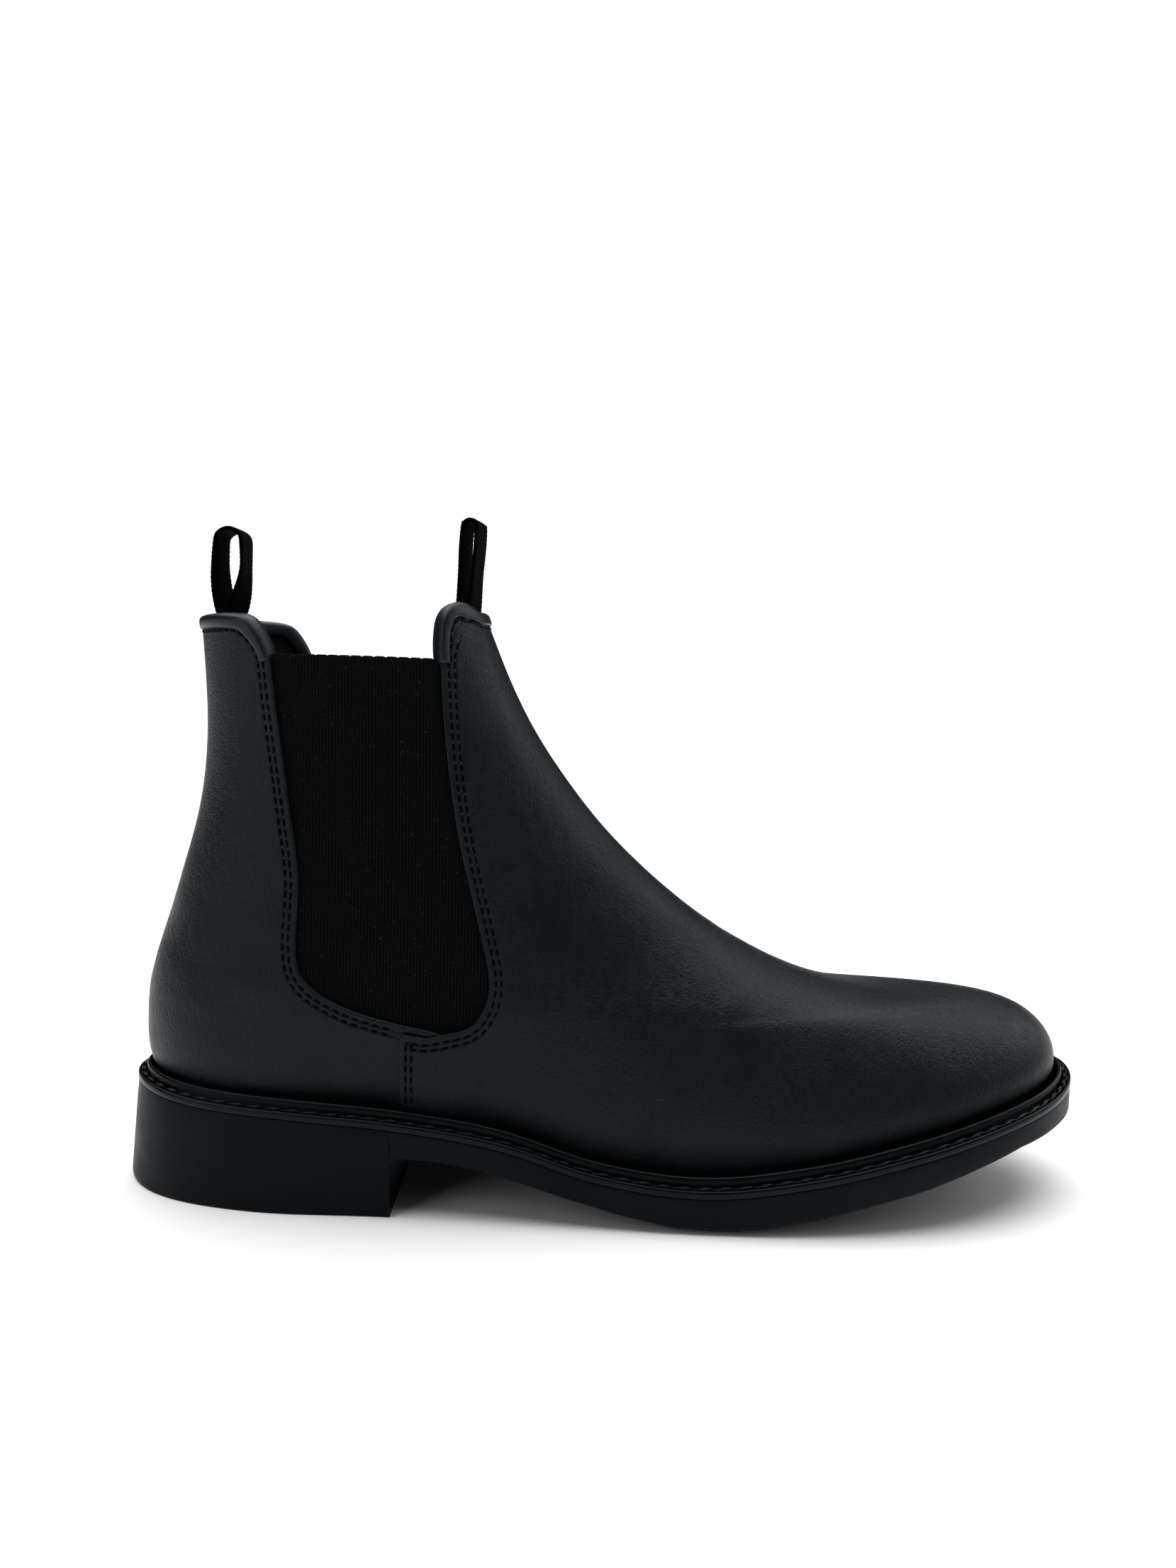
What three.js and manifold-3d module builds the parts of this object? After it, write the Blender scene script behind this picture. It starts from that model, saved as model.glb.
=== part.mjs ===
// Chelsea boot for the right foot: a moulded rubber sole with its heel, a storm welt, a leather vamp and
// quarters joined by two elastic gores, full linings, bound collar edges and two pull loops.
// Millimetres, +X towards the toe, +Y towards the inner side of the foot, +Z up, floor at z = 0.
import * as THREE from 'three';
import { mergeVertices } from 'three/addons/utils/BufferGeometryUtils.js';
import Module from 'manifold-3d';

const wasm = await Module();
wasm.setup();

// ---- layers of the upper, as depths below its outer surface ----
const LEATHER = { from: 0, to: 1.8 };
const MIDDLE = { from: 2.3, to: 3.5 };
const LINING = { from: 4, to: 5 };
const BINDING = { from: -0.8, to: 5.8 };
const LOOP_TAIL = { from: 6.1, to: 7.4 };

// ---- sole stack, from the feather line outwards and from the rim down ----
const WELT_WIDTH = 7;
const WELT_THICKNESS = 2;
const RIB = { from: 2, to: 3.8, height: 2.8 };
const THREAD = { from: 4.7, to: 5.9, height: 0.8 };
const GAP = 0.3;
const RECESS = { inset: 3.5, depth: 4 };
const INSOLE = { inset: 5.8, thickness: 2.5 };
const SOCK = { inset: 6.3, thickness: 3 };
const OUTSOLE_TOP = -WELT_THICKNESS - GAP;
const RECESS_FLOOR = OUTSOLE_TOP - RECESS.depth;
const HEEL_BREAST = 88.5;
const HEEL_FLARE = { share: 0.02, height: 20 };
const HEEL_HOLLOW = { inset: 8, floor: 8, back: 14, front: 78, roof: 60 };
const OPEN_ABOVE = 10;
const CORK = { from: 11, to: 292, overShank: 8, lap: 4 };
const SHANK = { from: 44, to: 150, halfWidth: 7.5, thickness: 1.6 };

// ---- how finely the surfaces are cut ----
const COLUMNS = 36;
const LEVELS = [0, 0.5, 1, 1.5, 2, 2.5, 3, 3.5, 4, 5, 6, 7, 8, 9];
const OUTLINE_POINTS = 40;
const STATION = 20;
const SIDE_REACH = 90;
const PAST_TOE = 340;
const GORE_STEPS = 21;
const TUCK_STEPS = 14;
const BELOW_FLOOR = 10;
const RUN_END = 16 * STATION;

// ---- the upper's rings: each runs round the boot from a point on its back to a point on its front ----
// half-widths stand at 30, 60, 90, 120 and 150 degrees round from the heel, first on the outer side,
// then the sideways place of the front point, then on the inner side from 150 back to 30 degrees
const RINGS = [
  {
    back: [8.5, 34], front: [298, 36], nose: 4,
    outer: [24, 31.5, 38, 45, 31], inner: [36, 45, 31, 30, 24],
  },
  {
    back: [6.6, 39], front: [300, 46], nose: 4,
    outer: [26.5, 34.5, 41, 46.5, 34], inner: [38, 46.5, 34, 33, 26],
  },
  {
    back: [6, 44], front: [290.5, 58.2], nose: 3,
    outer: [28, 35.5, 39.5, 36.4, 25], inner: [27.5, 36.4, 36, 34.5, 27],
  },
  {
    back: [5.8, 49], front: [267.6, 62.3], nose: 2,
    outer: [27.5, 35, 39.4, 32.6, 13.9], inner: [15.9, 33.6, 37.9, 34, 27],
  },
  {
    back: [6.5, 63.5], front: [233.9, 60.1], nose: 1,
    outer: [27, 34.5, 38.8, 35.7, 24.5], inner: [25.5, 36.7, 38.3, 34, 26.5],
  },
  {
    back: [9.5, 73.1], front: [197, 73.9], nose: 0,
    outer: [24.5, 32.5, 36, 31.8, 20.3], inner: [20.8, 32.3, 36, 32.5, 24.5],
  },
  {
    back: [17, 97], front: [163, 99], nose: 0,
    outer: [21, 29, 32, 28.5, 18], inner: [18.5, 28.5, 32, 29, 21],
  },
  {
    back: [24.5, 124], front: [138, 127], nose: 0,
    outer: [17.5, 27.5, 31, 27.5, 17], inner: [17, 27.5, 31, 27.5, 17.5],
  },
  {
    back: [25.8, 150], front: [122.6, 153], nose: 0,
    outer: [16.5, 28, 32, 28, 16.5], inner: [16.5, 28, 32, 28, 16.5],
  },
  {
    back: [23.5, 179], front: [112, 180], nose: 0,
    outer: [17, 29, 33.5, 29, 17], inner: [17, 29, 33.5, 29, 17],
  },
];
const TOP_RING = RINGS.length - 1;
const FEATHER_REACH = 3;

// ---- side-view lines of the sole ----
const SOLE_TOP = {
  start: -30, step: 30,
  heights: [35, 34.2, 31.8, 30.5, 28.9, 24.8, 16.2, 13.1, 16.8, 23.4, 30.4, 36.2, 43],
};
const SOLE_BOTTOM = [
  [HEEL_BREAST, 0], [HEEL_BREAST, 15.5], [91, 17.8], [103, 17.6], [116, 15.6], [128, 12.2],
  [142, 8], [156, 4], [170, 1], [180, 0], [192, 0], [198, 1.2], [212, 3.8],
  [228, 8], [244, 12.3], [260, 17.6], [276, 22.6], [292, 25.2], [312, 27.5],
];

// ---- side-view outlines of the seams ----
const SEAM_X = 91;
const COLLAR = { back: 178.6, front: 180.2, band: 4.6 };
const GORE_TOP = 165.3;
const GORE_BACK = [
  [50.9, GORE_TOP], [52.8, 148], [56.2, 123], [59.6, 100], [59.5, 77], [64, 68], [76, 61.6],
];
const GORE_LOW = [SEAM_X, 57.6];
const GORE_FRONT = [
  [104, 55.4], [112.5, 58.3], [117, 69], [113.5, 86], [107, 112], [102.8, 140], [100.8, GORE_TOP],
];
const GORE_TUCK = 8;
const SEAM_TAPE = { halfWidth: 6, foot: 88 };
const COUNTER = [[-10, 0], [78, 0], [76, 38], [64, 48], [46, 56], [38, 66], [37, 84], [-10, 84]];
const PUFF = [[244, 0], [256, 90], [330, 90], [330, 0]];
const FLEX_PIVOT = [163.2, 99];
const FLEX_LOW = [117.4, 69.6];

// ---- pull loops: a folded tape seen along its width ----
const TAPE = { width: 12, thickness: 1.4 };
const LOOP_BASE = 181.2;
const LOOP_SIDE = [[1.5, 0], [2.8, 6], [4.1, 12], [4.5, 18]];
const BACK_LOOP = { x: 30.4, height: 24.4, turn: -5, lean: 0.02 };
const FRONT_LOOP = { x: 105.4, height: 28, turn: -12, lean: 0.07 };
const TAIL_FOOT = 158;
const TAIL_REACH = 40;
const MID_COLLAR = 70;
const COLLAR_LEVEL = 8;
const CROWN_STEPS = 6;
const CROWN_ROOM = 5;

// ---- finishes ----
const leather = new THREE.MeshStandardMaterial({ color: 0x15171b, roughness: 0.42, metalness: 0 });
const elastic = new THREE.MeshStandardMaterial({ color: 0x101013, roughness: 0.85, metalness: 0 });
const liningLeather = new THREE.MeshStandardMaterial({ color: 0x1b1b1d, roughness: 0.7, metalness: 0 });
const rubber = new THREE.MeshStandardMaterial({ color: 0x131418, roughness: 0.5, metalness: 0 });
const weltRubber = new THREE.MeshStandardMaterial({ color: 0x0e0f12, roughness: 0.35, metalness: 0 });
const thread = new THREE.MeshStandardMaterial({ color: 0x0b0b0d, roughness: 0.6, metalness: 0 });
const tape = new THREE.MeshStandardMaterial({ color: 0x08090a, roughness: 0.9, metalness: 0 });
const fibreboard = new THREE.MeshStandardMaterial({ color: 0x8a7358, roughness: 0.9, metalness: 0 });
const cork = new THREE.MeshStandardMaterial({ color: 0x9a7046, roughness: 0.95, metalness: 0 });
const foam = new THREE.MeshStandardMaterial({ color: 0xb9b4a8, roughness: 0.95, metalness: 0 });
const steel = new THREE.MeshStandardMaterial({ color: 0x9aa0a6, roughness: 0.35, metalness: 1 });
const stiffener = new THREE.MeshStandardMaterial({ color: 0xd8d2c4, roughness: 0.8, metalness: 0 });

// ---- curves ----
function cubicWeights(t) {
  const rise = (-3 * t ** 3 + 3 * t ** 2 + 3 * t + 1) / 6;
  const fall = (3 * t ** 3 - 6 * t ** 2 + 4) / 6;
  return [(1 - t) ** 3 / 6, fall, rise, t ** 3 / 6];
}

function soleTop(x) {
  const { start, step, heights } = SOLE_TOP;
  const place = THREE.MathUtils.clamp((x - start) / step, 0, heights.length - 1.001);
  const curve = new THREE.SplineCurve(heights.map((z, i) => new THREE.Vector2(i, z)));
  return curve.getPoint(place / (heights.length - 1)).y;
}

// ---- the upper's outer surface ----
const ringRowOf = (r) => [...r.back, ...r.front, 0, ...r.outer.map((w) => -w), r.nose, ...r.inner];
const RING_ROWS = RINGS.map(ringRowOf);
const AROUND = 12;
const FIRST_WIDTH = 4;
const WIDTH_SCALE = 3 / (2 + Math.cos(Math.PI / 6));

function ringRow(i) {
  if (i < 0) return RING_ROWS[0].map((v, k) => 2 * v - RING_ROWS[1][k]);
  if (i <= TOP_RING) return RING_ROWS[i];
  return RING_ROWS[TOP_RING].map((v, k) => v + (i - TOP_RING) * (v - RING_ROWS[TOP_RING - 1][k]));
}

function blendedRow(level) {
  const i = Math.min(Math.floor(level), TOP_RING - 1);
  const weights = cubicWeights(level - i);
  const rows = [i - 1, i, i + 1, i + 2].map(ringRow);
  return rows[0].map((_, k) => weights.reduce((sum, w, j) => sum + w * rows[j][k], 0));
}

function surfacePoint(angle, level) {
  const row = blendedRow(level);
  const turn = THREE.MathUtils.euclideanModulo(angle, 2 * Math.PI) / (2 * Math.PI / AROUND);
  const sector = Math.floor(turn);
  const weights = cubicWeights(turn - sector);
  const widthAt = (k) => row[FIRST_WIDTH + (k + AROUND) % AROUND];
  const y = WIDTH_SCALE * weights.reduce((sum, w, j) => sum + w * widthAt(sector + j - 1), 0);
  const forward = (1 - Math.cos(angle)) / 2;
  const x = THREE.MathUtils.lerp(row[0], row[2], forward);
  const z = THREE.MathUtils.lerp(row[1], row[3], forward);
  const featherLine = THREE.MathUtils.lerp(RINGS[0].back[1], RINGS[0].front[1], forward);
  const settle = 1 - THREE.MathUtils.smoothstep(level, 0, FEATHER_REACH);
  return new THREE.Vector3(x, y, z + settle * (soleTop(x) - featherLine));
}

function surfaceNormal(angle, level) {
  const small = 1e-3;
  const along = surfacePoint(angle + small, level).sub(surfacePoint(angle - small, level));
  const low = Math.max(level - small, 0);
  const high = Math.min(level + small, TOP_RING);
  const up = surfacePoint(angle, high).sub(surfacePoint(angle, low));
  return along.cross(up).normalize();
}

// ---- solids ----
function solidFrom(positions, indices) {
  const geometry = new THREE.BufferGeometry();
  geometry.setAttribute('position', new THREE.Float32BufferAttribute(positions, 3));
  geometry.setIndex(indices);
  return solid(geometry);
}

function solid(geometry) {
  const bare = geometry.clone();
  bare.deleteAttribute('normal');
  bare.deleteAttribute('uv');
  const merged = mergeVertices(bare, 1e-4);
  const vertProperties = new Float32Array(merged.attributes.position.array);
  const triVerts = new Uint32Array(merged.index.array);
  return new wasm.Manifold(new wasm.Mesh({ numProp: 3, vertProperties, triVerts }));
}

// one layer of the upper as a closed sleeve between two depths below the outer surface
function sleeve(layer, lowLevel = 0) {
  const levels = LEVELS.filter((level) => level >= lowLevel);
  const rows = levels.length;
  const positions = [];
  for (const depth of [layer.from, layer.to]) {
    for (const level of levels) {
      for (let c = 0; c < COLUMNS; c += 1) {
        const angle = (2 * Math.PI * c) / COLUMNS;
        const point = surfacePoint(angle, level).addScaledVector(surfaceNormal(angle, level), -depth);
        positions.push(point.x, point.y, point.z);
      }
    }
  }
  const at = (side, r, c) => side * rows * COLUMNS + r * COLUMNS + (c % COLUMNS);
  const indices = [];
  const quad = (a, b, c, d) => indices.push(a, b, c, a, c, d);
  for (let c = 0; c < COLUMNS; c += 1) {
    for (let r = 0; r < rows - 1; r += 1) {
      quad(at(0, r, c), at(0, r, c + 1), at(0, r + 1, c + 1), at(0, r + 1, c));
      quad(at(1, r, c + 1), at(1, r, c), at(1, r + 1, c), at(1, r + 1, c + 1));
    }
    quad(at(0, 0, c + 1), at(0, 0, c), at(1, 0, c), at(1, 0, c + 1));
    quad(at(0, rows - 1, c), at(0, rows - 1, c + 1), at(1, rows - 1, c + 1), at(1, rows - 1, c));
  }
  return solidFrom(positions, indices);
}

// a side-view outline drawn through the boot from y = low to y = high
function sideCut(outline, low = -SIDE_REACH, high = SIDE_REACH) {
  const shape = new THREE.Shape(outline.map(([x, z]) => new THREE.Vector2(x, z)));
  const geometry = new THREE.ExtrudeGeometry(shape, { depth: high - low, bevelEnabled: false });
  geometry.rotateX(Math.PI / 2);
  geometry.translate(0, high, 0);
  return solid(geometry);
}

const outerSide = (outline) => sideCut(outline, -SIDE_REACH, -GAP / 2);
const innerSide = (outline) => sideCut(outline, GAP / 2, SIDE_REACH);

function smoothLine(points, count) {
  const curve = new THREE.SplineCurve(points.map(([x, z]) => new THREE.Vector2(x, z)));
  return curve.getPoints(count).map((p) => [p.x, p.y]);
}

// the feather line seen from above, moved outwards
function planOutline(outset) {
  const points = [];
  for (let i = 0; i < OUTLINE_POINTS; i += 1) {
    const angle = (2 * Math.PI * i) / OUTLINE_POINTS;
    const along = surfacePoint(angle + 1e-3, 0).sub(surfacePoint(angle - 1e-3, 0));
    const length = Math.hypot(along.x, along.y);
    const point = surfacePoint(angle, 0);
    const moved = [point.x + (outset * along.y) / length, point.y - (outset * along.x) / length];
    points.push(new THREE.Vector2(...moved));
  }
  return points;
}

function planCut(outset) {
  const shape = new THREE.Shape(planOutline(outset));
  const geometry = new THREE.ExtrudeGeometry(shape, { depth: SIDE_REACH, bevelEnabled: false });
  geometry.translate(0, 0, -BELOW_FLOOR);
  return solid(geometry);
}

// the sole's top line drawn with straight stretches between evenly spaced stations
function soleLine(x) {
  const before = Math.floor(x / STATION) * STATION;
  return THREE.MathUtils.mapLinear(x, before, before + STATION, soleTop(before), soleTop(before + STATION));
}

function soleRun(from, to, shift) {
  const stations = Array.from({ length: RUN_END / STATION + 1 }, (_, i) => i * STATION);
  const inner = stations.filter((x) => x > from && x < to);
  return [from, ...inner, to].map((x) => [x, soleLine(x) + shift]);
}

// a slab that follows the sole's top line between two heights
function soleProfile(low, high, from = -STATION, to = RUN_END) {
  return [...soleRun(from, to, high), ...soleRun(from, to, low).reverse()];
}

function soleLayer(outset, low, high, from, to) {
  return planCut(outset).intersect(sideCut(soleProfile(low, high, from, to)));
}

function piece(name, body, material) {
  const mesh = body.getMesh();
  const geometry = new THREE.BufferGeometry();
  geometry.setAttribute('position', new THREE.BufferAttribute(new Float32Array(mesh.vertProperties), 3));
  geometry.setIndex(new THREE.BufferAttribute(new Uint32Array(mesh.triVerts), 1));
  const made = new THREE.Mesh(geometry, material);
  made.name = name;
  return made;
}

// ---- the sole ----
function outsole() {
  const top = soleRun(-STATION, RUN_END, OUTSOLE_TOP).reverse();
  const block = planCut(WELT_WIDTH).intersect(sideCut([[-STATION, 0], ...SOLE_BOTTOM, ...top]));
  const recess = soleLayer(-RECESS.inset, RECESS_FLOOR, OPEN_ABOVE);
  const { inset, floor, back, front, roof } = HEEL_HOLLOW;
  const outline = [[back, floor], [front, floor], [front, roof], [back, roof]];
  const hollow = planCut(-inset).intersect(sideCut(outline));
  return block.subtract(recess).subtract(hollow).warp(flareHeel);
}

// the heel widens a little towards the floor
function flareHeel(vertex) {
  if (vertex[0] > HEEL_BREAST + 0.1 || vertex[2] > HEEL_FLARE.height) return;
  const share = HEEL_FLARE.share * (1 - vertex[2] / HEEL_FLARE.height);
  vertex[0] -= (HEEL_BREAST - vertex[0]) * share;
  vertex[1] *= 1 + share;
}

function heelCore() {
  const low = HEEL_HOLLOW.floor + GAP;
  const from = HEEL_HOLLOW.back + GAP;
  const to = HEEL_HOLLOW.front - GAP;
  const roof = soleRun(from, to, RECESS_FLOOR).reverse();
  const outline = [[from, low], [to, low], ...roof];
  return planCut(-HEEL_HOLLOW.inset - GAP).intersect(sideCut(outline));
}

function shank() {
  const low = RECESS_FLOOR + GAP;
  const { from, to, thickness, halfWidth } = SHANK;
  return sideCut(soleProfile(low, low + thickness, from, to), -halfWidth, halfWidth);
}

// the filler is thin over the shank and as deep as the recess under the forefoot
function corkFiller() {
  const inset = -RECESS.inset - GAP;
  const overShank = RECESS_FLOOR + SHANK.thickness + 2 * GAP;
  const thin = soleLayer(inset, overShank, OUTSOLE_TOP, CORK.from, SHANK.to + CORK.overShank);
  const deep = soleLayer(inset, RECESS_FLOOR + GAP, OUTSOLE_TOP, SHANK.to + CORK.lap, CORK.to);
  return thin.add(deep);
}

function welt() {
  const strip = soleLayer(WELT_WIDTH, -WELT_THICKNESS, 0).subtract(planCut(GAP * 2));
  const rib = soleLayer(RIB.to, -WELT_THICKNESS / 2, RIB.height).subtract(planCut(RIB.from));
  return strip.add(rib);
}

function weltThread() {
  return soleLayer(THREAD.to, GAP, GAP + THREAD.height).subtract(planCut(THREAD.from));
}

function insoleBoard() {
  return soleLayer(-INSOLE.inset, -WELT_THICKNESS, INSOLE.thickness - WELT_THICKNESS);
}

function sockLiner() {
  const low = INSOLE.thickness - WELT_THICKNESS + GAP;
  return soleLayer(-SOCK.inset, low, low + SOCK.thickness);
}

// ---- outlines of the upper's panels ----
const BAND_RISE = 0.8;
const collarBandBack = [
  [-20, COLLAR.back - COLLAR.band], [39.8, COLLAR.back - COLLAR.band],
  [44.4, 170.8], [47.8, GORE_TOP], [52.2, GORE_TOP], [48.4, 172.4],
  [43.6, 176.8], [38, COLLAR.back], [-20, COLLAR.back],
];
const collarBandFront = [
  [100.8, GORE_TOP], [102.4, 174], [105, 178.2], [109, COLLAR.front],
  [140, COLLAR.front + 1], [140, COLLAR.front - COLLAR.band + BAND_RISE],
  [110.4, COLLAR.front - COLLAR.band], [107.4, 173.2], [105.4, GORE_TOP],
];

function quarterOutline() {
  const gore = smoothLine([...GORE_BACK, GORE_LOW], GORE_STEPS).reverse();
  const underBand = COLLAR.back - COLLAR.band - GAP;
  const top = [[47.6, GORE_TOP - GAP], [44.2, 170.4], [39.6, underBand]];
  return [
    [-20, 0], [SEAM_X - GAP / 2, 0], [SEAM_X - GAP / 2, GORE_LOW[1]], ...gore.slice(1, -1),
    [52.2, GORE_TOP - GAP], ...top, [-20, underBand],
  ];
}

function vampOutline() {
  const front = smoothLine([GORE_LOW, ...GORE_FRONT], GORE_STEPS);
  const gore = front.filter(([x, z]) => z < FLEX_LOW[1] - 1 && x > SEAM_X + GAP);
  const seam = [[SEAM_X + GAP / 2, -10], [SEAM_X + GAP / 2, GORE_LOW[1]]];
  return [...seam, ...gore, ...flexLine(-GAP), [PAST_TOE, 120], [PAST_TOE, -10]];
}

function shaftOutline() {
  const front = smoothLine([GORE_LOW, ...GORE_FRONT], GORE_STEPS);
  const gore = front.filter(([, z]) => z > FLEX_LOW[1] + 1 && z < GORE_TOP - 1);
  const underBand = COLLAR.front - COLLAR.band - GAP;
  const top = [[100.9, GORE_TOP - GAP], [105.6, GORE_TOP - GAP], [107.7, 173], [110.6, underBand]];
  return [...flexLine(GAP).reverse(), ...gore, ...top, [140, underBand + BAND_RISE], [220, 150]];
}

// the crease over the instep where the front of the shaft gives when the collar is pulled open
function flexLine(side) {
  const dx = FLEX_PIVOT[0] - FLEX_LOW[0];
  const dz = FLEX_PIVOT[1] - FLEX_LOW[1];
  const length = Math.hypot(dx, dz);
  const shift = [(-dz / length) * side, (dx / length) * side];
  const start = [FLEX_LOW[0] + shift[0], FLEX_LOW[1] + shift[1]];
  const end = [FLEX_PIVOT[0] + shift[0], FLEX_PIVOT[1] + shift[1]];
  return [start, end, [end[0] + dx, end[1] + dz]];
}

function goreOutline() {
  const back = smoothLine([...GORE_BACK, GORE_LOW], TUCK_STEPS);
  const edge = [...back, ...smoothLine([GORE_LOW, ...GORE_FRONT], TUCK_STEPS).slice(1)];
  const grown = edge.map((point, i) => {
    const before = edge[Math.max(i - 1, 0)];
    const after = edge[Math.min(i + 1, edge.length - 1)];
    const length = Math.hypot(after[0] - before[0], after[1] - before[1]);
    const out = [(after[1] - before[1]) / length, -(after[0] - before[0]) / length];
    return [point[0] + GORE_TUCK * out[0], point[1] + GORE_TUCK * out[1]];
  });
  grown[0][1] = GORE_TOP - GAP * 2;
  grown[grown.length - 1][1] = GORE_TOP - GAP * 2;
  return grown;
}

// ---- pull loops ----
function loopPath(loop) {
  const side = LOOP_SIDE.filter(([, h]) => h < loop.height - CROWN_ROOM);
  const crownRadius = side[side.length - 1][0];
  const crown = loop.height - TAPE.thickness / 2 - crownRadius;
  const turns = Array.from({ length: CROWN_STEPS + 1 }, (_, i) => (Math.PI * i) / CROWN_STEPS);
  const arc = turns.map((a) => [crownRadius * Math.cos(a), crown + crownRadius * Math.sin(a)]);
  return [...side, ...arc, ...side.map(([s, h]) => [-s, h]).reverse()];
}

function besidePath(path, distance) {
  return path.map(([s, h], i) => {
    const before = path[Math.max(i - 1, 0)];
    const after = path[Math.min(i + 1, path.length - 1)];
    const length = Math.hypot(after[0] - before[0], after[1] - before[1]);
    const across = (distance * (after[1] - before[1])) / length;
    return [s + across, h - (distance * (after[0] - before[0])) / length];
  });
}

function loopBand(loop) {
  const path = loopPath(loop);
  const half = TAPE.thickness / 2;
  const outline = [...besidePath(path, half), ...besidePath(path, -half).reverse()];
  const leaning = outline.map(([s, h]) => [s + loop.lean * h, h]);
  const band = sideCut(leaning, -TAPE.width / 2, TAPE.width / 2);
  return band.rotate([0, 0, loop.turn]).translate([loop.x, 0, LOOP_BASE]);
}

// the loop's two ends lie flat inside the lining, at the back or at the front of the collar
function loopTail(x) {
  const half = TAPE.width / 2;
  const from = x < MID_COLLAR ? x - TAIL_REACH : MID_COLLAR;
  const to = x < MID_COLLAR ? MID_COLLAR : x + TAIL_REACH;
  const strip = [[from, TAIL_FOOT], [to, TAIL_FOOT], [to, LOOP_BASE], [from, LOOP_BASE]];
  return sleeve(LOOP_TAIL, COLLAR_LEVEL - 1).intersect(sideCut(strip, -half, half));
}

// ---- assembly ----
const leatherSleeve = sleeve(LEATHER);
const middleSleeve = sleeve(MIDDLE);
const liningSleeve = sleeve(LINING);
const collarSleeve = sleeve(BINDING, COLLAR_LEVEL);
const quarter = quarterOutline();
const vamp = vampOutline();
const shaft = shaftOutline();
const gore = goreOutline();
const tapeTop = COLLAR.back - COLLAR.band - GAP;
const seamTape = [[-10, SEAM_TAPE.foot], [45, SEAM_TAPE.foot], [45, tapeTop], [-10, tapeTop]];
const seamTapeCut = sideCut(seamTape, -SEAM_TAPE.halfWidth, SEAM_TAPE.halfWidth);

const boot = new THREE.Group();
boot.add(
  piece('outsole', outsole(), rubber),
  piece('heel_core', heelCore(), foam),
  piece('shank', shank(), steel),
  piece('cork_filler', corkFiller(), cork),
  piece('welt', welt(), weltRubber),
  piece('welt_thread', weltThread(), thread),
  piece('insole_board', insoleBoard(), fibreboard),
  piece('sock_liner', sockLiner(), liningLeather),
  piece('toe_puff', middleSleeve.intersect(sideCut(PUFF)), stiffener),
  piece('heel_counter', middleSleeve.intersect(sideCut(COUNTER)), stiffener),
  piece('back_seam_tape', middleSleeve.intersect(seamTapeCut), tape),
  piece('gore_outer', middleSleeve.intersect(outerSide(gore)), elastic),
  piece('gore_inner', middleSleeve.intersect(innerSide(gore)), elastic),
  piece('quarter_outer', leatherSleeve.intersect(outerSide(quarter)), leather),
  piece('quarter_inner', leatherSleeve.intersect(innerSide(quarter)), leather),
  piece('vamp', leatherSleeve.intersect(sideCut(vamp)), leather),
  piece('vamp_shaft', leatherSleeve.intersect(sideCut(shaft)), leather),
  piece('quarter_lining', liningSleeve.intersect(sideCut(quarter)), liningLeather),
  piece('vamp_lining', liningSleeve.intersect(sideCut(vamp)), liningLeather),
  piece('shaft_lining', liningSleeve.intersect(sideCut(shaft)), liningLeather),
  piece('collar_binding_back', collarSleeve.intersect(sideCut(collarBandBack)), leather),
  piece('collar_binding_front', collarSleeve.intersect(sideCut(collarBandFront)), leather),
  piece('back_loop_tail', loopTail(BACK_LOOP.x), tape),
  piece('front_loop_tail', loopTail(FRONT_LOOP.x), tape),
  piece('back_loop', loopBand(BACK_LOOP), tape),
  piece('front_loop', loopBand(FRONT_LOOP), tape),
);

// the frame's origin is the middle of the boot's footprint, on the floor
const box = new THREE.Box3().setFromObject(boot);
const centre = box.getCenter(new THREE.Vector3());
boot.position.set(-centre.x, -centre.y, -box.min.z);
boot.updateMatrixWorld(true);

export default boot;
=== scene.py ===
"""Chelsea boot for the right foot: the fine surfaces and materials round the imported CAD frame.

Lengths below are millimetres in the boot's own drawing, with x from the heel towards the toe, y towards the
inner side of the foot and z up from the floor; to_frame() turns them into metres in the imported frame.
"""

import math

import bmesh
import bpy
import numpy as np
from mathutils import Matrix, Vector


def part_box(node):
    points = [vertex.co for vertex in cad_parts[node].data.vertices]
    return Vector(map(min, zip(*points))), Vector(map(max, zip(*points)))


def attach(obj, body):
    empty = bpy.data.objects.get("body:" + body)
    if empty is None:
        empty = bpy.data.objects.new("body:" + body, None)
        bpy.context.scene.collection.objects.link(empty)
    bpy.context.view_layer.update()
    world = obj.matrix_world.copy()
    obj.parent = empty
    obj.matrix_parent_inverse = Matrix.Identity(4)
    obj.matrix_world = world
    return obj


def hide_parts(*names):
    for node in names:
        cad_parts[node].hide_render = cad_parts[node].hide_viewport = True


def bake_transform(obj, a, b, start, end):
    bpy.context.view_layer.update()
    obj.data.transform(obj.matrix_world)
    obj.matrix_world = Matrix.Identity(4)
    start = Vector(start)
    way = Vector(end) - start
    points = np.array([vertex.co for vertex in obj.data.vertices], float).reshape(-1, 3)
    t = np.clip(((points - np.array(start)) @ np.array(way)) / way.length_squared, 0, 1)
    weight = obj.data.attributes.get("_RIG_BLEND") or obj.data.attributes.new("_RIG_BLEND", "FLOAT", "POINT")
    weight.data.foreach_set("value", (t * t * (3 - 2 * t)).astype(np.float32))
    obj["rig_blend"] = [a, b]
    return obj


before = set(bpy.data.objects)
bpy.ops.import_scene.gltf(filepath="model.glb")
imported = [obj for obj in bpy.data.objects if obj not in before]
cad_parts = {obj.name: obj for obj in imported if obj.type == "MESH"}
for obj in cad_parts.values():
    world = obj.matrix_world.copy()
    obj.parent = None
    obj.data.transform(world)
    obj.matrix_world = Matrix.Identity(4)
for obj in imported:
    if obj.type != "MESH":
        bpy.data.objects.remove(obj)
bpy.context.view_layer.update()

# ---- the drawing's place in the frame ----
MM = 0.001
OUTSOLE_LOW = (-0.24, -50.698)
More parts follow.
